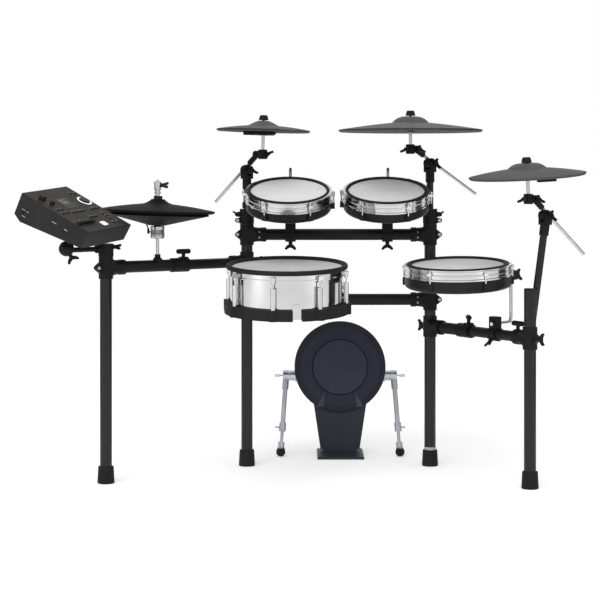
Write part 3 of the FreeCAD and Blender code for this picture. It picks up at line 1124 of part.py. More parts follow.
def kick():
    origin = V(KICK_X, KICK_Y, 0)
    tower_top = KICK_Z - KICK_R * 0.72
    half_top = TOWER_TOP_W / 2
    half_base = TOWER_BASE_W / 2
    front = KICK_PAD_T
    back = front + KICK_DEPTH
    tower = slab([(-half_base, TOWER_BASE_Z), (half_base, TOWER_BASE_Z), (half_top, tower_top),
                  (half_top * 0.6, KICK_Z),
                  (-half_top * 0.6, KICK_Z), (-half_top, tower_top)], front, back)
    housing = rod(V(0, front, KICK_Z), V(0, back - 14, KICK_Z), KICK_R - 3)
    rear = Part.makeCone(KICK_R - 3, KICK_R - 30, 14, V(0, back - 14, KICK_Z), Y)
    toe = box(-half_base + 10, half_base - 10, front, back, BASE_T - 1, TOWER_BASE_Z + 1)
    plate = box(-BASE_W / 2, BASE_W / 2, -BASE_FRONT, BASE_BACK, 0, BASE_T)
    plate = plate.makeFillet(2.0, [e for e in plate.Edges if e.BoundBox.ZMin > BASE_T - 0.01])
    brace = slab_x([(back - 1, BASE_T - 1), (BASE_BACK - 8, BASE_T - 1), (back - 1, KICK_Z * 0.55)], -4, 4)
    braces = []
    for side in (-1, 1):
        one = brace.copy()
        one.translate(X * side * 45)
        braces.append(one)
    skirt = rod(V(0, front - 1, KICK_Z), V(0, front + KICK_SKIRT + FIT, KICK_Z), KICK_R + FIT)
    skirt = skirt.cut(rod(V(0, front - 2, KICK_Z), V(0, back, KICK_Z), KICK_R - 3))
    body = join(tower, housing, rear, toe, plate, *braces).cut(skirt)
    add("kick_frame", put(body, FreeCAD.Placement(origin, FreeCAD.Rotation())))
    face = turned([(0, 0), (KICK_R - 9, 0), ((KICK_R - 2.6, 2.6), (KICK_R, 9)),
                   (KICK_R, KICK_PAD_T + KICK_SKIRT),
                   (KICK_R - 2.6, KICK_PAD_T + KICK_SKIRT), (KICK_R - 2.6, KICK_PAD_T - FIT),
                   (0, KICK_PAD_T - FIT)])
    groove = turned([(KICK_SPOT_R - 1.2, -1), (KICK_SPOT_R + 1.2, -1), (KICK_SPOT_R + 1.2, 1.5),
                     (KICK_SPOT_R - 1.2, 1.5)])
    face = put(face.cut(groove), frame(V(0, 0, KICK_Z), Y, X))
    near, far, low = RIDGE_BASE
    for side in (-1, 1):
        ridge = [(side * RIDGE_APEX[0], RIDGE_APEX[1]), (side * near, low), (side * far, low)]
        face = join(face, slab(ridge, -RIDGE_UP, KICK_PAD_T / 2))
    add("kick_pad", put(face, FreeCAD.Placement(origin, FreeCAD.Rotation())))
    for side, name in ((-1, "left_spur"), (1, "right_spur")):
        spur(origin, side, name)
    joint("kick_place", origin, Y)


def slab_x(points, x0, x1):
    # A plate between two planes of constant x, from an outline of (y, z) points.
    corners = [V(x0, y, z) for y, z in points]
    return Part.Face(Part.makePolygon(corners + corners[:1])).extrude(V(x1 - x0, 0, 0))


def spur(origin, side, name):
    pivot = origin + V(side * SPUR_OUT, KICK_PAD_T + SPUR_PIVOT_Y, KICK_Z - SPUR_PIVOT_DROP)
    half = math.sqrt((KICK_R - 3) ** 2 - SPUR_PIVOT_DROP ** 2)
    inner = origin.x + side * (half + FIT)
    arm = rod(V(inner - side * 6, pivot.y, pivot.z), pivot - X * side * 11.5, SPUR_ARM_R)
    flange = rod(V(inner - side * 6, pivot.y, pivot.z), V(inner + side * 5, pivot.y, pivot.z), SPUR_FLANGE_R)
    drum_cut = rod(V(origin.x, origin.y - 10, KICK_Z), V(origin.x, origin.y + 200, KICK_Z), KICK_R - 3 + FIT)
    skirt = rod(V(origin.x, origin.y - 1, KICK_Z),
                V(origin.x, origin.y + KICK_PAD_T + KICK_SKIRT + FIT, KICK_Z), KICK_R + FIT)
    bracket = join(arm, flange).cut(drum_cut).cut(skirt)
    pin = rod(pivot - X * side * 12, pivot + X * side * 12.5, PIN_R)
    bracket = join(bracket, pin)
    tail = pivot + X * side * 12.5
    wing = join(rod(tail - X * side, tail + X * side * 8, 3.0), put(box(-5, 5, -2.5, 2.5, 0, 20),
                frame(tail + X * side * 7, X * side, Z)))
    add("spur_brackets", join(bracket, wing))
    tip = V(pivot.x + side * SPUR_SPLAY, pivot.y - SPUR_FORWARD, SPUR_TIP_R)
    down = unit(tip - pivot)
    length = (tip - pivot).Length
    knuckle = rod(pivot - X * side * 11, pivot + X * side * 11, KNUCKLE_R)
    collar_at = length * 0.62
    tube = rod(pivot, pivot + down * (collar_at + 6), SPUR_R)
    socket = rod(pivot + down * 6, pivot + down * 48, SPUR_R + 3)
    collar = rod(pivot + down * collar_at, pivot + down * (collar_at + 30), SPUR_R + 3.5)
    thumb = rod(pivot + down * (collar_at + 16), pivot + down * (collar_at + 16) + X * side * 26, 3.0)
    inner_rod = rod(pivot + down * collar_at, tip, SPUR_ROD_R)
    ferrule = rod(tip - down * 34, tip - down * 15, 11.0)
    body = join(knuckle, tube, socket, collar, thumb, inner_rod, ferrule)
    body = body.cut(rod(pivot - X * 30, pivot + X * 30, PIN_R + RUN))
    rubber = join(Part.makeSphere(SPUR_TIP_R, tip),
                  Part.makeCone(12.0, SPUR_TIP_R, 15, tip - down * 15, down))
    rubber = rubber.cut(body)
    add(name, body, rubber)
    joint(name + "_fold", pivot, X)


def main():
    left = V(-CENTER_SPAN / 2, 0, 0)
    right = V(CENTER_SPAN / 2, 0, 0)
    snare_x = left.x + SNARE_FROM_LEG
    rack(left, right)
    for name, spec, base in (("crash_left", CRASH_LEFT, left), ("ride", RIDE, right)):
        eye, axis = cymbal(name, spec, base)
        add("cymbal_posts", *post_under(eye, axis, base, spec["wing"]))
    snare(snare_x)
    rack_tom("tom_left", TOM_MID_X - TOM_SPACING / 2)
    rack_tom("tom_right", TOM_MID_X + TOM_SPACING / 2)
    left_wing(left)
    right_wing(right)
    kick()
    return Part.makeCompound([solid for solids in NODES.values() for solid in solids]).BoundBox


bounds = main()
ORIGIN = V(bounds.Center.x, bounds.Center.y, bounds.ZMin)
os.makedirs("parts", exist_ok=True)
for node, solids in NODES.items():
    whole = Part.makeCompound([put(solid, FreeCAD.Placement(ORIGIN * -1,
                                                            FreeCAD.Rotation())) for solid in solids])
    whole.exportStep("parts/" + node + ".step")
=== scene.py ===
import json
import math

import bmesh
import bpy
from mathutils import Matrix, Vector
from mathutils.bvhtree import BVHTree


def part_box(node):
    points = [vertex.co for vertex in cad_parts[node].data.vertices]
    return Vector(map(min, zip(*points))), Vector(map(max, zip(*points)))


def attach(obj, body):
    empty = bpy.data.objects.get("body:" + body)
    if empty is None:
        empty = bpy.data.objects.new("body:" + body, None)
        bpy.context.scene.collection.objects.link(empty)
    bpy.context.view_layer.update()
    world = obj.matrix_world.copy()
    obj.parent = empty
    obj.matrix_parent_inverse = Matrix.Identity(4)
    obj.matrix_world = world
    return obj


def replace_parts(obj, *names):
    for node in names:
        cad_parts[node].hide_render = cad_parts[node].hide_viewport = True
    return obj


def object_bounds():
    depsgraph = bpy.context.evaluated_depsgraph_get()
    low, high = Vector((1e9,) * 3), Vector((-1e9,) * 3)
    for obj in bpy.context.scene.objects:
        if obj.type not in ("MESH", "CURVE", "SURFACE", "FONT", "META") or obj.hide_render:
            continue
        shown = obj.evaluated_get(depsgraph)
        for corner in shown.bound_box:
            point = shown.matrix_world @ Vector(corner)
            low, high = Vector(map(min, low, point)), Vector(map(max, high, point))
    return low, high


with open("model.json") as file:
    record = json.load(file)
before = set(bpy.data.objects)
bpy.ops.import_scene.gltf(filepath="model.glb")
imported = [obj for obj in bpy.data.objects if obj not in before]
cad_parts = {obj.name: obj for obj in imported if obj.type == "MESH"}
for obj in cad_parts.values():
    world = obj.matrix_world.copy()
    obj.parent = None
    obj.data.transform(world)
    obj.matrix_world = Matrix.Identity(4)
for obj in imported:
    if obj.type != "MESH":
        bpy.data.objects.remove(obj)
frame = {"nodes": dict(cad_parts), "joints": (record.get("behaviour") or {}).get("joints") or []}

NODES = frame["nodes"]
CAD_LOW, CAD_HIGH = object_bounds()

# The camera, from the photograph's horizon and the rack's known pipe size
CAMERA_AT = (-0.0198, -5.5409, 0.990)
LENS = 102.0
HORIZON_SHIFT = -0.2167

SENSOR_WIDTH = 36.0
FAR_CLIP = 200.0

MM = 0.001

LAMPS = (("left_box", (-3.6, -2.6, 1.2), 2.2, 40.0), ("right_box", (3.6, -2.6, 1.2), 2.2, 30.0),
         ("top_box", (0.0, -0.6, 4.4), 2.6, 40.0))
LAMP_AIM = (0.0, 0.0, 0.55)
SUN_POWER = 1.5
SUN_SPREAD = math.radians(50.0)
SUN_TURN = (math.radians(52.0), 0.0, math.radians(-14.0))
# The room's light by height: share of the way up and grey
ROOM_GREYS = ((0.0, 0.46), (0.3, 0.42), (0.9, 0.55))

# Dark cards around the object: name, azimuth from the camera and width, in degrees
CARDS = (("card_right", 96.0, 22.0), ("card_back_right", 128.0, 16.0), ("card_left", -98.0, 18.0),
         ("card_back_left", -130.0, 14.0))
CARD_GREY = 0.06
CARD_AWAY = 2.1
CARD_TALL = 2.4
FLOOR_R = 60.0
FLOOR_DROP = 0.2 * MM
FLOOR_LIFT = 0.32

# Finishes: how far edges wear, and the wave texture's period at scale 1
EDGE_WEAR = 1.0 * MM
WAVE_PERIOD = math.tau / 20.0
THREAD_PITCH = 1.1 * MM

# Vertices of one closed piece lie closer together than this
WELD = 0.002 * MM

# Solids that come first in their nodes
FIXED_CLAMPS = 4
TURNING_CLAMPS = 2
PLAIN_BUTTONS = 23

# Stretched heads: rings as shares of the radius, height over the solid and drop at the rim
HEAD_SPOKES = 96
HEAD_RINGS = (0.12, 0.3, 0.5, 0.7, 0.86, 0.95, 0.985, 1.0)
HEAD_LIFT = 0.45 * MM
HEAD_DROP = 0.2 * MM

# Marks on the module, in the panel's own axes
VOLUME_SPOT = (-0.078, -0.085)
INK_LIFT = 0.00004
INK_THICK = 0.00012
FADER_TOP = 0.061
FADER_MARK = (0.8 * MM, 2.6 * MM)
BUTTON_MARK = (0.7 * MM, 3.4 * MM)
BUTTON_MARK_AWAY = 7.6 * MM
KNOB_TICKS = 9
KNOB_TICK = 0.7 * MM
KNOB_TICK_START = -60.0
KNOB_TICK_SWEEP = 300.0
KNOB_TICK_RINGS = (("volume_turn", 16.5 * MM), ("mix_turn", 12.0 * MM))
# Bars on the case's front side: middle x and z, half width and half height
SIDE_MARKS = ((-0.106, -0.045, 0.006, 0.0008), (-0.090, -0.045, 0.004, 0.0008),
              (-0.098, -0.064, 0.006, 0.0008), (0.010, -0.030, 0.009, 0.0009),
              (0.056, -0.031, 0.006, 0.0012))
# Lines on the screen: start and end across it
SCREEN_FIRST = -0.060
SCREEN_TOP = 0.0003
SCREEN_STEP = 6.0 * MM
SCREEN_HALF = 1.6 * MM
SCREEN_LINES = ((-0.024, 0.004), (-0.024, -0.004), (-0.020, 0.010), (-0.024, 0.000), (-0.016, 0.006))

# Screw heads and caps, as radius and height rings
SCREW = ((3.2 * MM, -0.6 * MM), (3.2 * MM, 1.1 * MM), (2.9 * MM, 1.5 * MM), (2.4 * MM, 1.6 * MM),
         (1.4 * MM, 1.6 * MM), (1.3 * MM, 0.5 * MM))
SCREW_HEX_FROM = 4
SCREW_APART = 9.0 * MM
SCREW_INWARD = 30.0 * MM
ROD_CAP = ((1.06, -6.0 * MM), (1.12, -5.5 * MM), (1.12, 0.4 * MM), (0.95, 2.0 * MM), (0.6, 3.0 * MM),
           (0.2, 3.4 * MM))
ROD_CROWN = 0.5 * MM

# Where a colour changes within a solid: heights, radii, and shares of the sensor's height
SPUR_TIP_TOP = 0.029
# The kick's ridges: front faces within this depth get a lighter colour, a painted highlight
KICK_RIDGE_DEPTH = 0.3 * MM
KICK_FACE_DEPTH = 2.5 * MM
SEAT_DROP = 22.0 * MM
SEAT_R = 7.0 * MM
STEM_END = 3.0 * MM
SENSOR_DARK = (0.22, 0.72)

# Radius of each cymbal's bell, and the width of the dark rim
BELLS = {"crash_left": 51.0 * MM, "ride": 61.0 * MM, "crash_right": 60.0 * MM}
RIM_WIDTH = 5.0 * MM

# The pale band above the right centre foot: share of the leg's radius and height above the foot
LEG_BAND = ((1.005, -0.5 * MM), (1.03, 0.0), (1.03, 8.6 * MM), (1.02, 9.4 * MM), (1.005, 9.6 * MM))
LEG_BAND_SPOKES = 48


# Materials
def new_material(name):
    made = bpy.data.materials.new(name)
    made.use_nodes = True
    tree = made.node_tree
    return made, tree, tree.nodes["Principled BSDF"]


def object_coords(tree):
    return tree.nodes.new("ShaderNodeTexCoord").outputs["Object"]


def noise(tree, vector, scale, detail=3.0):
    node = tree.nodes.new("ShaderNodeTexNoise")
    node.inputs["Scale"].default_value = scale
    node.inputs["Detail"].default_value = detail
    tree.links.new(vector, node.inputs["Vector"])
    return node.outputs["Fac"]


def ramp(tree, factor, *stops):
    node = tree.nodes.new("ShaderNodeValToRGB")
    elements = node.color_ramp.elements
    while len(elements) < len(stops):
        elements.new(0.5)
    for element, (place, color) in zip(elements, stops):
        element.position = place
        element.color = (*color, 1.0)
    tree.links.new(factor, node.inputs["Fac"])
    return node.outputs["Color"]


def spread(tree, factor, low, high):
    node = tree.nodes.new("ShaderNodeMapRange")
    node.inputs["From Min"].default_value = 0.3
    node.inputs["From Max"].default_value = 0.7
    node.inputs["To Min"].default_value = low
    node.inputs["To Max"].default_value = high
    tree.links.new(factor, node.inputs["Value"])
    return node.outputs["Result"]


def bump(tree, height, strength, distance):
    node = tree.nodes.new("ShaderNodeBump")
    node.inputs["Strength"].default_value = strength
    node.inputs["Distance"].default_value = distance
    tree.links.new(height, node.inputs["Height"])
    return node.outputs["Normal"]


def math_node(tree, operation, first, second):
    node = tree.nodes.new("ShaderNodeMath")
    node.operation = operation
    node.use_clamp = True
    for socket, value in zip(node.inputs, (first, second)):
        if isinstance(value, float):
            socket.default_value = value
        else:
            tree.links.new(value, socket)
    return node.outputs["Value"]


def tinted(tree, color, factor, other):
    """The colour, drifting to another where the factor is high."""
    node = tree.nodes.new("ShaderNodeMix")
    node.data_type = "RGBA"
    tree.links.new(factor, node.inputs["Factor"])
    tree.links.new(color, node.inputs["A"])
    node.inputs["B"].default_value = (*other, 1.0)
    return node.outputs["Result"]


def worn_edges(tree, grain):
    """High along the edges of a shape, broken up by its grain."""
    soft = tree.nodes.new("ShaderNodeBevel")
    soft.samples = 4
    soft.inputs["Radius"].default_value = EDGE_WEAR
    flat = tree.nodes.new("ShaderNodeNewGeometry")
    dot = tree.nodes.new("ShaderNodeVectorMath")
    dot.operation = "DOT_PRODUCT"
    tree.links.new(soft.outputs["Normal"], dot.inputs[0])
    tree.links.new(flat.outputs["Normal"], dot.inputs[1])
    turned = math_node(tree, "SUBTRACT", 0.985, dot.outputs["Value"])
    return math_node(tree, "MULTIPLY", math_node(tree, "MULTIPLY", turned, 6.0), grain)


def finish(name, dark, light, rough, grain, relief, metal=0.0, patch=9.0, wear=None, **sockets):
    """A surface that drifts between two colours, with grain, relief, uneven gloss and worn edges."""
    made, tree, shader = new_material(name)
    coords = object_coords(tree)
    blotches = noise(tree, coords, patch)
    fine = noise(tree, coords, grain, 2.0)
    color = ramp(tree, blotches, (0.32, dark), (0.68, light))
    if wear:
        color = tinted(tree, color, worn_edges(tree, fine), wear)
    tree.links.new(color, shader.inputs["Base Color"])
    tree.links.new(spread(tree, fine, *rough), shader.inputs["Roughness"])
    tree.links.new(bump(tree, fine, relief, 0.3 * MM), shader.inputs["Normal"])
    shader.inputs["Metallic"].default_value = metal
    for socket, value in sockets.items():
        shader.inputs[socket.replace("_", " ")].default_value = value
    return made


def ringed(name, centre, rings, rough, grain, relief, **sockets):
    """A surface whose colour changes with the distance from a centre, given as (radius, colour) rings."""
    made = finish(name, rings[0][1], rings[0][1], rough, grain, relief, **sockets)
    tree = made.node_tree
    shader = tree.nodes["Principled BSDF"]
    coords = object_coords(tree)
    away = tree.nodes.new("ShaderNodeVectorMath")
    away.operation = "DISTANCE"
    away.inputs[1].default_value = centre
    tree.links.new(coords, away.inputs[0])
    reach = rings[-1][0]
    share = math_node(tree, "DIVIDE", away.outputs["Value"], reach)
    color = ramp(tree, share, *[(radius / reach, shade) for radius, shade in rings])
    drift = tree.nodes.new("ShaderNodeHueSaturation")
    tree.links.new(spread(tree, noise(tree, coords, 12.0), 0.9, 1.1), drift.inputs["Value"])
    tree.links.new(color, drift.inputs["Color"])
    tree.links.new(drift.outputs["Color"], shader.inputs["Base Color"])
    return made


def woven(name, dark, light, pitch):
    """A two-way mesh with threads a pitch apart."""
    made = finish(name, dark, light, (0.55, 0.75), 900.0, 0.2, **DULL)
    tree = made.node_tree
    coords = object_coords(tree)
    threads = []
    for way in ("X", "Y"):
        wave = tree.nodes.new("ShaderNodeTexWave")
        wave.bands_direction = way
        wave.inputs["Scale"].default_value = WAVE_PERIOD / pitch
        tree.links.new(coords, wave.inputs["Vector"])
        threads.append(wave.outputs["Fac"])
    height = math_node(tree, "MAXIMUM", *threads)
    tree.links.new(bump(tree, height, 0.35, 0.15 * MM), tree.nodes["Principled BSDF"].inputs["Normal"])
    return made


def grey(value, tint=(1.0, 1.0, 1.0)):
    return tuple(value * t for t in tint)


BLUISH = (0.95, 0.98, 1.08)
WARM = (1.06, 1.0, 0.92)
WORN = grey(0.045)

DULL = {"Specular_IOR_Level": 0.12}
SATIN = {"Specular_IOR_Level": 0.16}

powder = finish("powder_coat", grey(0.008), grey(0.012), (0.34, 0.48), 1400.0, 0.25, **SATIN)
leg_coat = finish("leg_coat", grey(0.004), grey(0.006), (0.20, 0.28), 1400.0, 0.08,
                  Specular_IOR_Level=0.34)
casting = finish("moulded_nylon", grey(0.005), grey(0.009), (0.42, 0.58), 900.0, 0.45, wear=WORN, **SATIN)
rubber = finish("moulded_rubber", grey(0.011), grey(0.017), (0.50, 0.72), 700.0, 0.5, **DULL)
bolt = finish("zinc_steel", grey(0.34), grey(0.50), (0.22, 0.40), 1200.0, 0.2, 1.0, 60.0)
chrome = finish("chrome", grey(0.50), grey(0.56), (0.04, 0.10), 260.0, 0.02, 1.0, 12.0)
hoop_chrome = finish("hoop_chrome", grey(0.52), grey(0.60), (0.10, 0.16), 260.0, 0.02, 1.0, 12.0)
plated = finish("plated_rod", grey(0.48), grey(0.58), (0.12, 0.24), 700.0, 0.05, 1.0, 30.0)
silver = finish("satin_silver", grey(0.46, BLUISH), grey(0.57, BLUISH), (0.24, 0.38), 800.0, 0.1, 1.0, 20.0)
aluminium = finish("turned_aluminium", grey(0.16), grey(0.28), (0.20, 0.36), 900.0, 0.15, 1.0, 40.0)
bow = finish("pad_rubber", grey(0.062), grey(0.078), (0.52, 0.70), 650.0, 0.4, **DULL)
ride_bow = finish("ride_rubber", grey(0.068, WARM), grey(0.084, WARM), (0.50, 0.68), 650.0, 0.4, **DULL)
hihat_bow = finish("hihat_rubber", grey(0.006), grey(0.010), (0.50, 0.68), 650.0, 0.4,
                   Specular_IOR_Level=0.03)
bell = finish("bell_rubber", grey(0.060, BLUISH), grey(0.080, BLUISH), (0.45, 0.62), 650.0, 0.35, **DULL)
edge = finish("edge_rubber", grey(0.022), grey(0.032), (0.5, 0.7), 700.0, 0.4, **DULL)
base = finish("pad_base", grey(0.006), grey(0.010), (0.45, 0.6), 800.0, 0.4, **DULL)
shell = finish("shell_plastic", grey(0.008), grey(0.013), (0.32, 0.46), 900.0, 0.3, **SATIN)
foam = finish("trigger_foam", grey(0.03), grey(0.06), (0.85, 0.95), 400.0, 0.8, **DULL)
felt = finish("felt", grey(0.012), grey(0.03), (0.9, 1.0), 1500.0, 0.9, **DULL)
kick_shell = finish("kick_shell", (0.024, 0.024, 0.037), (0.032, 0.032, 0.046), (0.4, 0.55), 900.0, 0.3,
                    wear=(0.05, 0.05, 0.06), **SATIN)
case = finish("module_shell", grey(0.012), grey(0.018), (0.40, 0.56), 1100.0, 0.4, wear=WORN, **SATIN)
panel = finish("module_face", (0.020, 0.019, 0.018), (0.027, 0.025, 0.023), (0.40, 0.55), 1300.0, 0.2,
               Specular_IOR_Level=0.06)
caps = finish("control_caps", grey(0.008), grey(0.013), (0.38, 0.55), 900.0, 0.3, wear=WORN, **SATIN)
ink = finish("printed_marks", grey(0.34), grey(0.44), (0.5, 0.6), 900.0, 0.1, **DULL)
weave = woven("mesh_head", grey(0.60), grey(0.66), THREAD_PITCH)
snare_weave = woven("snare_mesh", grey(0.44), grey(0.50), THREAD_PITCH)
lit = finish("lit_cap", grey(0.7), grey(0.8), (0.3, 0.4), 900.0, 0.1, Emission_Strength=0.55,
             Emission_Color=(0.85, 0.95, 1.0, 1.0))
screen = finish("screen_glass", (0.016, 0.016, 0.011), (0.034, 0.028, 0.017), (0.10, 0.18), 300.0, 0.02,
                0.0, 26.0, Specular_IOR_Level=0.05)
segments = finish("screen_segments", (0.09, 0.12, 0.085), (0.16, 0.20, 0.14), (0.3, 0.4), 600.0, 0.05)

KICK_LOW, KICK_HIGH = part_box("kick_pad")
kick_middle = (KICK_LOW + KICK_HIGH) / 2
KICK_BLUE = (0.036, 0.037, 0.060)
KICK_RING = (0.026, 0.026, 0.041)
# Painted shade: near-black for the groove between the kick's disc and its ring
KICK_GROOVE_SHADE = (0.006, 0.006, 0.009)
KICK_OUTER = (0.019, 0.019, 0.029)
# Painted highlight: the raised ridges on the kick's face are coloured lighter, as if lit
kick_ridge_highlight = finish("kick_ridge_highlight", (0.050, 0.050, 0.072), (0.062, 0.062, 0.088), (0.45, 0.6), 700.0, 0.3,
                    **SATIN)
# The kick pad's colours by radius; the thin near-black ring is painted shade in the groove
kick_cloth = ringed(
    "kick_rubber", (kick_middle.x, KICK_LOW.y + KICK_FACE_DEPTH, kick_middle.z),
    [(0.0, KICK_BLUE), (0.0930, KICK_BLUE), (0.0945, KICK_GROOVE_SHADE), (0.0975, KICK_GROOVE_SHADE), (0.0990, KICK_RING),
     (0.134, KICK_RING), (0.142, KICK_OUTER), (0.160, KICK_OUTER)],
    (0.5, 0.68), 700.0, 0.4, **SATIN)


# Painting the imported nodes, solid by solid
def islands(mesh):
    """The polygons of each closed piece of a mesh, in the order they come."""
    at = {}
    keys = [at.setdefault(tuple(round(c / WELD) for c in v.co), len(at)) for v in mesh.vertices]
    root = list(range(len(at)))

    def find(i):
        while root[i] != i:
            root[i] = root[root[i]]
            i = root[i]
        return i

    for face in mesh.polygons:
        first = find(keys[face.vertices[0]])
        for i in face.vertices[1:]:
            root[find(keys[i])] = first
    groups = {}
    for face in mesh.polygons:
        groups.setdefault(find(keys[face.vertices[0]]), []).append(face.index)
    return list(groups.values())


def coat(mesh, faces, mat):
    if mat.name not in mesh.materials:
        mesh.materials.append(mat)
    index = mesh.materials.find(mat.name)
    for face in faces:
        mesh.polygons[face].material_index = index


def paint(node, *mats):
    """One material per solid of a node, the last for all that follow."""
    mesh = NODES[node].data
    mesh.materials.clear()
    groups = islands(mesh)
    for i, group in enumerate(groups):
        coat(mesh, group, mats[min(i, len(mats) - 1)])


def wide_part(node, index, reach):
    """The faces of one solid of a node that lie farther than a reach from its long axis."""
    mesh = NODES[node].data
    group = islands(mesh)[index]
    spots = [mesh.vertices[v].co for i in group for v in mesh.polygons[i].vertices]
    top = max(spots, key=lambda spot: spot.z).z
    foot = min(spots, key=lambda spot: spot.z).z
    ends = [[s for s in spots if abs(s.z - level) < STEM_END] for level in (foot, top)]
    start, end = [sum(near, Vector()) / len(near) for near in ends]
    along = (end - start).normalized()
    return [i for i in group if (mesh.polygons[i].center - start).cross(along).length > reach]


def pad_radii(node):
    """A cymbal's outer rubber faces with their distance from its axis, and those that stand upright."""
    mesh = NODES[node].data
    faces = [mesh.polygons[i] for i in islands(mesh)[0]]
    up = sum((face.normal * face.area for face in faces if face.normal.z > 0.2), Vector()).normalized()
    low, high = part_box(node)
    middle = (low + high) / 2
    reach = max((face.center - middle).length for face in faces)
    rim = [face.center for face in faces if (face.center - middle).length > 0.97 * reach]
    hub = sum(rim, Vector()) / len(rim)
    radii = {face.index: (face.center - hub).cross(up).length for face in faces if face.normal.dot(up) > -0.2}
    upright = {i for i in radii if mesh.polygons[i].normal.dot(up) < 0.6}
    return radii, upright


def zone(node, mat, inside):
    """Another material on the faces of a node whose middle is inside."""
    mesh = NODES[node].data
    coat(mesh, [face.index for face in mesh.polygons if inside(face.center)], mat)


for node in ("crossbars", "left_arm_tube", "right_arm_sleeve"):
    paint(node, powder)
paint("center_legs", leg_coat)
for node in ("left_stand_pipes", "right_stand_pipes"):
    paint(node, leg_coat, powder)
for node in ("center_feet", "left_foot", "right_foot", "snare_rim", "snare_base_hoop"):
    paint(node, rubber)
paint("rack_clamps", *[casting, bolt] * FIXED_CLAMPS, *[casting, casting, bolt] * TURNING_CLAMPS)
paint("cymbal_posts", *[leg_coat, casting, casting] * 2)
paint("crash_pole", leg_coat, casting, casting)
paint("left_arm_clamp", casting)
paint("left_stand_clamps", casting, bolt, casting, casting, casting, plated, casting)
paint("right_arm_clamp", casting)
paint("right_stand_clamps", casting)
paint("snare_shell", chrome, casting, foam)
paint("snare_head", snare_weave)
paint("snare_lugs", chrome)
paint("snare_arm", casting, casting, plated, casting)
for name in ("tom_left", "tom_right", "floor_tom"):
    paint(name + "_shell", shell, foam, casting)
    paint(name + "_hoop", hoop_chrome)
    paint(name + "_head", weave, rubber)
for name in ("tom_left", "tom_right"):
    paint(name + "_mount", casting, casting, plated)
paint("floor_tom_rod", plated)
paint("hihat_sensor", aluminium, rubber)
sensor_mesh = NODES["hihat_sensor"].data
sensor_group = islands(sensor_mesh)[0]
sensor_top = max(sensor_mesh.polygons[i].center.z for i in sensor_group)
sensor_foot = min(sensor_mesh.polygons[i].center.z for i in sensor_group)
for i in sensor_group:
    share = (sensor_mesh.polygons[i].center.z - sensor_foot) / (sensor_top - sensor_foot)
    if not SENSOR_DARK[0] < share < SENSOR_DARK[1]:
        coat(sensor_mesh, [i], plated)
paint("hihat_bottom", hihat_bow, base)
paint("hihat_top", hihat_bow)
paint("hihat_clutch", plated, casting, felt, plated)
for name in ("crash_left", "ride", "crash_right"):
    paint(name + "_boom", casting, casting, plated)
    paint(name + "_tilter", casting, casting, casting, plated, casting)
    pad_low, pad_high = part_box(name + "_pad")
    stem_top = (pad_low + pad_high).z / 2 - SEAT_DROP
    zone(name + "_tilter", casting, lambda at: at.z > stem_top)
    coat(NODES[name + "_tilter"].data, wide_part(name + "_tilter", 3, SEAT_R), casting)
    paint(name + "_pad", ride_bow if name == "ride" else bow, base)
    radii, upright = pad_radii(name + "_pad")
    widest = max(radii.values())
    coat(NODES[name + "_pad"].data, [i for i, r in radii.items() if r < BELLS[name]], bell)
    coat(NODES[name + "_pad"].data, [i for i in upright if radii[i] > widest - RIM_WIDTH], edge)
paint("kick_frame", kick_shell)
paint("kick_pad", kick_cloth)
# Painted highlight on the ridges' front faces
zone("kick_pad", kick_ridge_highlight, lambda at: at.y < KICK_LOW.y + KICK_RIDGE_DEPTH)
paint("spur_brackets", silver)
for name in ("left_spur", "right_spur"):
    paint(name, silver)
    zone(name, rubber, lambda at: at.z < SPUR_TIP_TOP)
paint("module_case", case)
paint("module_panel", panel)
paint("module_screen", screen, lit)
for node in ("volume_knob", "mix_knob", "dial"):
    paint(node, caps)
paint("panel_buttons", *[caps] * PLAIN_BUTTONS, lit)
paint("faders", caps)


def shaped(name, form, mat):
    """A new object of one material, in the scene."""
    mesh = bpy.data.meshes.new(name)
    form.to_mesh(mesh)
    form.free()
    mesh.materials.append(mat)
    made = bpy.data.objects.new(name, mesh)
    bpy.context.scene.collection.objects.link(made)
    return made


# Stretched mesh heads
def top_disc(node):
    """Centre, upward normal and radius of a head's flat top."""
    mesh = NODES[node].data
    group = islands(mesh)[0]
    normal = Vector()
    for i in group:
        face = mesh.polygons[i]
        if face.normal.z > 0.7:
            normal += face.normal * face.area
    normal.normalize()
    top = {v for i in group if mesh.polygons[i].normal.dot(normal) > 0.99 for v in mesh.polygons[i].vertices}
    spots = [mesh.vertices[v].co for v in top]
    centre = Vector([(min(s[k] for s in spots) + max(s[k] for s in spots)) / 2 for k in range(3)])
    return centre, normal, max((s - centre).length for s in spots)


def head_sheet(name, node, body, mat=weave):
    """A tight woven sheet over a drum's head, pulled slightly down where the rim holds it."""
    centre, normal, radius = top_disc(node)
    form = bmesh.new()
    hub = form.verts.new((0.0, 0.0, HEAD_LIFT))
    before = None
    for share in HEAD_RINGS:
        lift = HEAD_LIFT - HEAD_DROP * share ** 6
        ring = []
        for k in range(HEAD_SPOKES):
            angle = math.tau * k / HEAD_SPOKES
            spot = (radius * share * math.cos(angle), radius * share * math.sin(angle), lift)
            ring.append(form.verts.new(spot))
        for k in range(HEAD_SPOKES):
            after = (k + 1) % HEAD_SPOKES
            if before is None:
                form.faces.new((hub, ring[k], ring[after]))
            else:
                form.faces.new((before[k], ring[k], ring[after], before[after]))
        before = ring
    for face in form.faces:
        face.smooth = True
    cloth = shaped(name, form, mat)
    cloth.matrix_world = Matrix.Translation(centre) @ normal.to_track_quat("Z", "Y").to_matrix().to_4x4()
    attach(cloth, body)
    return cloth


for name in ("tom_left", "tom_right", "floor_tom"):
    head_sheet(name + "_mesh", name + "_head", name)
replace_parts(head_sheet("snare_mesh", "snare_head", "rack", snare_weave), "snare_head")


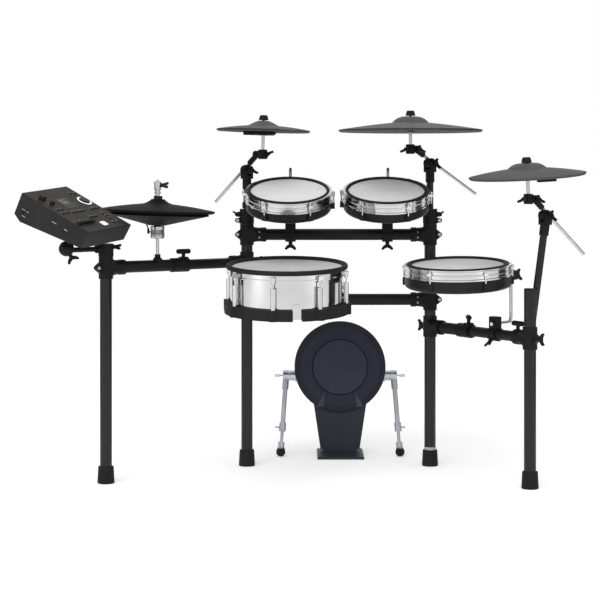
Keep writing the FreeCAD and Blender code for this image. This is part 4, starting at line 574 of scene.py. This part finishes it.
# Printed marks on the module: plain bars and ticks, no lettering
def piece(name, form, mat, body):
    made = shaped(name, form, mat)
    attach(made, body)


def middle_of(node, group, place):
    """The middle of one closed piece of a node, in a place's own axes."""
    mesh = NODES[node].data
    spots = [place @ mesh.vertices[v].co for i in group for v in mesh.polygons[i].vertices]
    return Vector([(min(s[k] for s in spots) + max(s[k] for s in spots)) / 2 for k in range(3)])


def bar(form, place, low, high):
    """A thin printed bar between two corners, in a place's own axes."""
    made = bmesh.ops.create_cube(form, size=1.0)["verts"]
    middle = (Vector(low) + Vector(high)) / 2
    size = Vector(high) - Vector(low)
    for vert in made:
        vert.co = place @ (middle + Vector([vert.co[k] * size[k] for k in range(3)]))


def panel_bar(form, x, y, half_x, half_y, top=0.0):
    low = (x - half_x, y - half_y, top + INK_LIFT)
    bar(form, PANEL, low, (x + half_x, y + half_y, top + INK_LIFT + INK_THICK))


JOINTS = {row["name"]: row for row in frame["joints"]}
panel_up = Vector(JOINTS["volume_turn"]["axis"])
panel_across = Vector(JOINTS["faders_move"]["axis"])
panel_along = panel_up.cross(panel_across)
volume_at = Vector(JOINTS["volume_turn"]["pos_m"])
PANEL = Matrix((panel_across, panel_along, panel_up)).transposed().to_4x4()
PANEL.translation = volume_at - panel_across * VOLUME_SPOT[0] - panel_along * VOLUME_SPOT[1]
ON_PANEL = PANEL.inverted()

marks = bmesh.new()
for group in islands(NODES["panel_buttons"].data)[:-1]:
    spot = middle_of("panel_buttons", group, ON_PANEL)
    panel_bar(marks, spot.x - BUTTON_MARK_AWAY, spot.y, *BUTTON_MARK)
fader_spots = [middle_of("faders", group, ON_PANEL) for group in islands(NODES["faders"].data)]
for spot in fader_spots:
    panel_bar(marks, FADER_TOP, spot.y, *FADER_MARK)
for joint, radius in KNOB_TICK_RINGS:
    spot = ON_PANEL @ Vector(JOINTS[joint]["pos_m"])
    for k in range(KNOB_TICKS):
        angle = math.radians(KNOB_TICK_START + KNOB_TICK_SWEEP * k / (KNOB_TICKS - 1))
        tick = (spot.x + radius * math.cos(angle), spot.y + radius * math.sin(angle))
        panel_bar(marks, *tick, KNOB_TICK, KNOB_TICK)
case_mesh = NODES["module_case"].data
case_front = min((ON_PANEL @ case_mesh.vertices[v].co).y
                 for i in islands(case_mesh)[0] for v in case_mesh.polygons[i].vertices)
for x, z, half_x, half_z in SIDE_MARKS:
    bar(marks, PANEL, (x - half_x, case_front - INK_LIFT - INK_THICK, z - half_z),
        (x + half_x, case_front - INK_LIFT, z + half_z))
piece("panel_marks", marks, ink, "module")

lines = bmesh.new()
for k, (start, end) in enumerate(SCREEN_LINES):
    across = SCREEN_FIRST + SCREEN_STEP * k
    panel_bar(lines, across, (start + end) / 2, SCREEN_HALF, (end - start) / 2, SCREEN_TOP)
piece("screen_lines", lines, segments, "module")


# Screws in the clamps, the band on a leg and caps on the tom rods
def lathe(form, place, profile, spokes=24, hex_from=None):
    """A turned form; from ring hex_from on the rings are six-sided."""
    before = None
    for k, (radius, height) in enumerate(profile):
        ring = []
        for s in range(spokes):
            angle = math.tau * s / spokes
            flat = 1.0
            if hex_from and k >= hex_from:
                flat = math.cos((angle + math.pi / 6) % (math.pi / 3) - math.pi / 6)
            reach = radius / flat
            spot = Vector((reach * math.cos(angle), reach * math.sin(angle), height))
            ring.append(form.verts.new(place @ spot))
        if before is None:
            form.faces.new(ring[::-1])
        else:
            for s in range(spokes):
                after = (s + 1) % spokes
                form.faces.new((before[s], before[after], ring[after], ring[s]))
        before = ring
    form.faces.new(before)


def front_of(node, x, z):
    """Where a line from the front first meets a node, with the surface's direction."""
    mesh = NODES[node].data
    tree = BVHTree.FromPolygons([v.co for v in mesh.vertices], [f.vertices for f in mesh.polygons])
    spot, normal, _, _ = tree.ray_cast(Vector((x, CAD_LOW.y - 0.1, z)), Vector((0.0, 1.0, 0.0)))
    return spot, normal


def screw(form, node, x, z):
    spot, normal = front_of(node, x, z)
    place = Matrix.Translation(spot) @ normal.to_track_quat("Z", "Y").to_matrix().to_4x4()
    lathe(form, place, SCREW, hex_from=SCREW_HEX_FROM)


bar_groups = islands(NODES["crossbars"].data)
bar_middles = [middle_of("crossbars", group, Matrix()) for group in bar_groups]
clamp_groups = islands(NODES["rack_clamps"].data)
screws = bmesh.new()
for group in clamp_groups[0:2 * FIXED_CLAMPS:2]:
    clamp = middle_of("rack_clamps", group, Matrix())
    crossbar = min(bar_middles, key=lambda m: abs(m.z - clamp.z))
    inward = math.copysign(1.0, crossbar.x - clamp.x)
    for up in (-SCREW_APART, SCREW_APART):
        screw(screws, "rack_clamps", clamp.x + inward * SCREW_INWARD, crossbar.z + up)
piece("rack_screws", screws, bolt, "rack")

leg_mesh = NODES["center_legs"].data
leg_group = max(islands(leg_mesh), key=lambda group: middle_of("center_legs", group, Matrix()).x)
leg_at = middle_of("center_legs", leg_group, Matrix())
leg_radius = max((leg_mesh.vertices[v].co - leg_at).xy.length
                 for i in leg_group for v in leg_mesh.polygons[i].vertices)
foot_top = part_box("center_feet")[1].z
band = bmesh.new()
lathe(band, Matrix.Translation((leg_at.x, leg_at.y, foot_top)), [(leg_radius * s, h) for s, h in LEG_BAND],
      LEG_BAND_SPOKES)
piece("leg_band", band, ink, "rack")

for name in ("tom_left", "tom_right"):
    mesh = NODES[name + "_mount"].data
    rod_verts = {v for i in islands(mesh)[2] for v in mesh.polygons[i].vertices}
    highest = max(mesh.vertices[v].co.z for v in rod_verts)
    crown = [mesh.vertices[v].co for v in rod_verts if mesh.vertices[v].co.z > highest - ROD_CROWN]
    top = sum(crown, Vector()) / len(crown)
    around = max((spot - top).length for spot in crown)
    cap = bmesh.new()
    lathe(cap, Matrix.Translation((top.x, top.y, highest)), [(around * s, h) for s, h in ROD_CAP])
    piece(name + "_rod_cap", cap, rubber, name)


# The studio: soft lamps, a white room, and dark cards that only reflections see
def area_light(name, at, size, power):
    data = bpy.data.lights.new(name, "AREA")
    data.shape = "DISK"
    data.size = size
    data.energy = power
    lamp = bpy.data.objects.new(name, data)
    bpy.context.scene.collection.objects.link(lamp)
    lamp.location = at
    aim = Vector(LAMP_AIM) - Vector(at)
    lamp.rotation_euler = aim.to_track_quat("-Z", "Y").to_euler()
    lamp.visible_glossy = False


for lamp_values in LAMPS:
    area_light(*lamp_values)

sun_data = bpy.data.lights.new("sky_panel", "SUN")
sun_data.energy = SUN_POWER
sun_data.angle = SUN_SPREAD
sun = bpy.data.objects.new("sky_panel", sun_data)
bpy.context.scene.collection.objects.link(sun)
sun.rotation_euler = SUN_TURN
sun.visible_glossy = False


def seen_white(tree):
    """One on the rays that see the background, straight or through metal and glass."""
    path = tree.nodes.new("ShaderNodeLightPath")
    mirrored = math_node(tree, "MAXIMUM", path.outputs["Is Glossy Ray"], path.outputs["Is Transmission Ray"])
    return math_node(tree, "MAXIMUM", path.outputs["Is Camera Ray"], mirrored)


world = bpy.data.worlds.new("studio")
world.use_nodes = True
bpy.context.scene.world = world
sky = world.node_tree
backdrop = sky.nodes["Background"]
backdrop.inputs["Color"].default_value = (1.0, 1.0, 1.0, 1.0)
room = sky.nodes.new("ShaderNodeBackground")
direction = sky.nodes.new("ShaderNodeSeparateXYZ")
sky.links.new(sky.nodes.new("ShaderNodeTexCoord").outputs["Generated"], direction.inputs["Vector"])
room_color = ramp(sky, direction.outputs["Z"], *[(up, grey(shade)) for up, shade in ROOM_GREYS])
sky.links.new(room_color, room.inputs["Color"])
choice = sky.nodes.new("ShaderNodeMixShader")
sky.links.new(seen_white(sky), choice.inputs["Fac"])
sky.links.new(room.outputs["Background"], choice.inputs[1])
sky.links.new(backdrop.outputs["Background"], choice.inputs[2])
sky.links.new(choice.outputs["Shader"], sky.nodes["World Output"].inputs["Surface"])


def stage_piece(name, form, mat):
    made = shaped(name, form, mat)
    return made


pale = finish("pale_floor", grey(0.86), grey(0.90), (0.8, 0.95), 30.0, 0.02, 0.0, 2.0, Specular_IOR_Level=0.0,
              Emission_Color=(1.0, 1.0, 1.0, 1.0))
glow = math_node(pale.node_tree, "MULTIPLY", seen_white(pale.node_tree), FLOOR_LIFT)
pale.node_tree.links.new(glow, pale.node_tree.nodes["Principled BSDF"].inputs["Emission Strength"])
form = bmesh.new()
bmesh.ops.create_circle(form, cap_ends=True, segments=96, radius=FLOOR_R)
stage_piece("floor", form, pale).location.z = -FLOOR_DROP

dark_card = finish("dark_card", grey(CARD_GREY), grey(CARD_GREY), (0.9, 1.0), 30.0, 0.02, **DULL)
for name, azimuth, width in CARDS:
    form = bmesh.new()
    bmesh.ops.create_grid(form, x_segments=1, y_segments=1, size=0.5)
    card = stage_piece(name, form, dark_card)
    away = Vector((math.sin(math.radians(azimuth)), -math.cos(math.radians(azimuth)), 0.0))
    card.location = away * CARD_AWAY + Vector((0.0, 0.0, CARD_TALL / 2))
    card.scale = (2.0 * CARD_AWAY * math.tan(math.radians(width) / 2), CARD_TALL, 1.0)
    card.rotation_euler = (math.radians(90.0), 0.0, math.radians(azimuth))
    card.visible_camera = False
    card.visible_diffuse = False
    card.visible_transmission = False
    card.visible_shadow = False

camera = bpy.data.objects.new("camera", bpy.data.cameras.new("camera"))
bpy.context.scene.collection.objects.link(camera)
camera.location = CAMERA_AT
camera.rotation_euler = (math.radians(90.0), 0.0, 0.0)
camera.data.lens = LENS
camera.data.sensor_width = SENSOR_WIDTH
camera.data.shift_y = HORIZON_SHIFT
camera.data.clip_end = FAR_CLIP
bpy.context.scene.camera = camera
bpy.context.scene.view_settings.view_transform = "Standard"
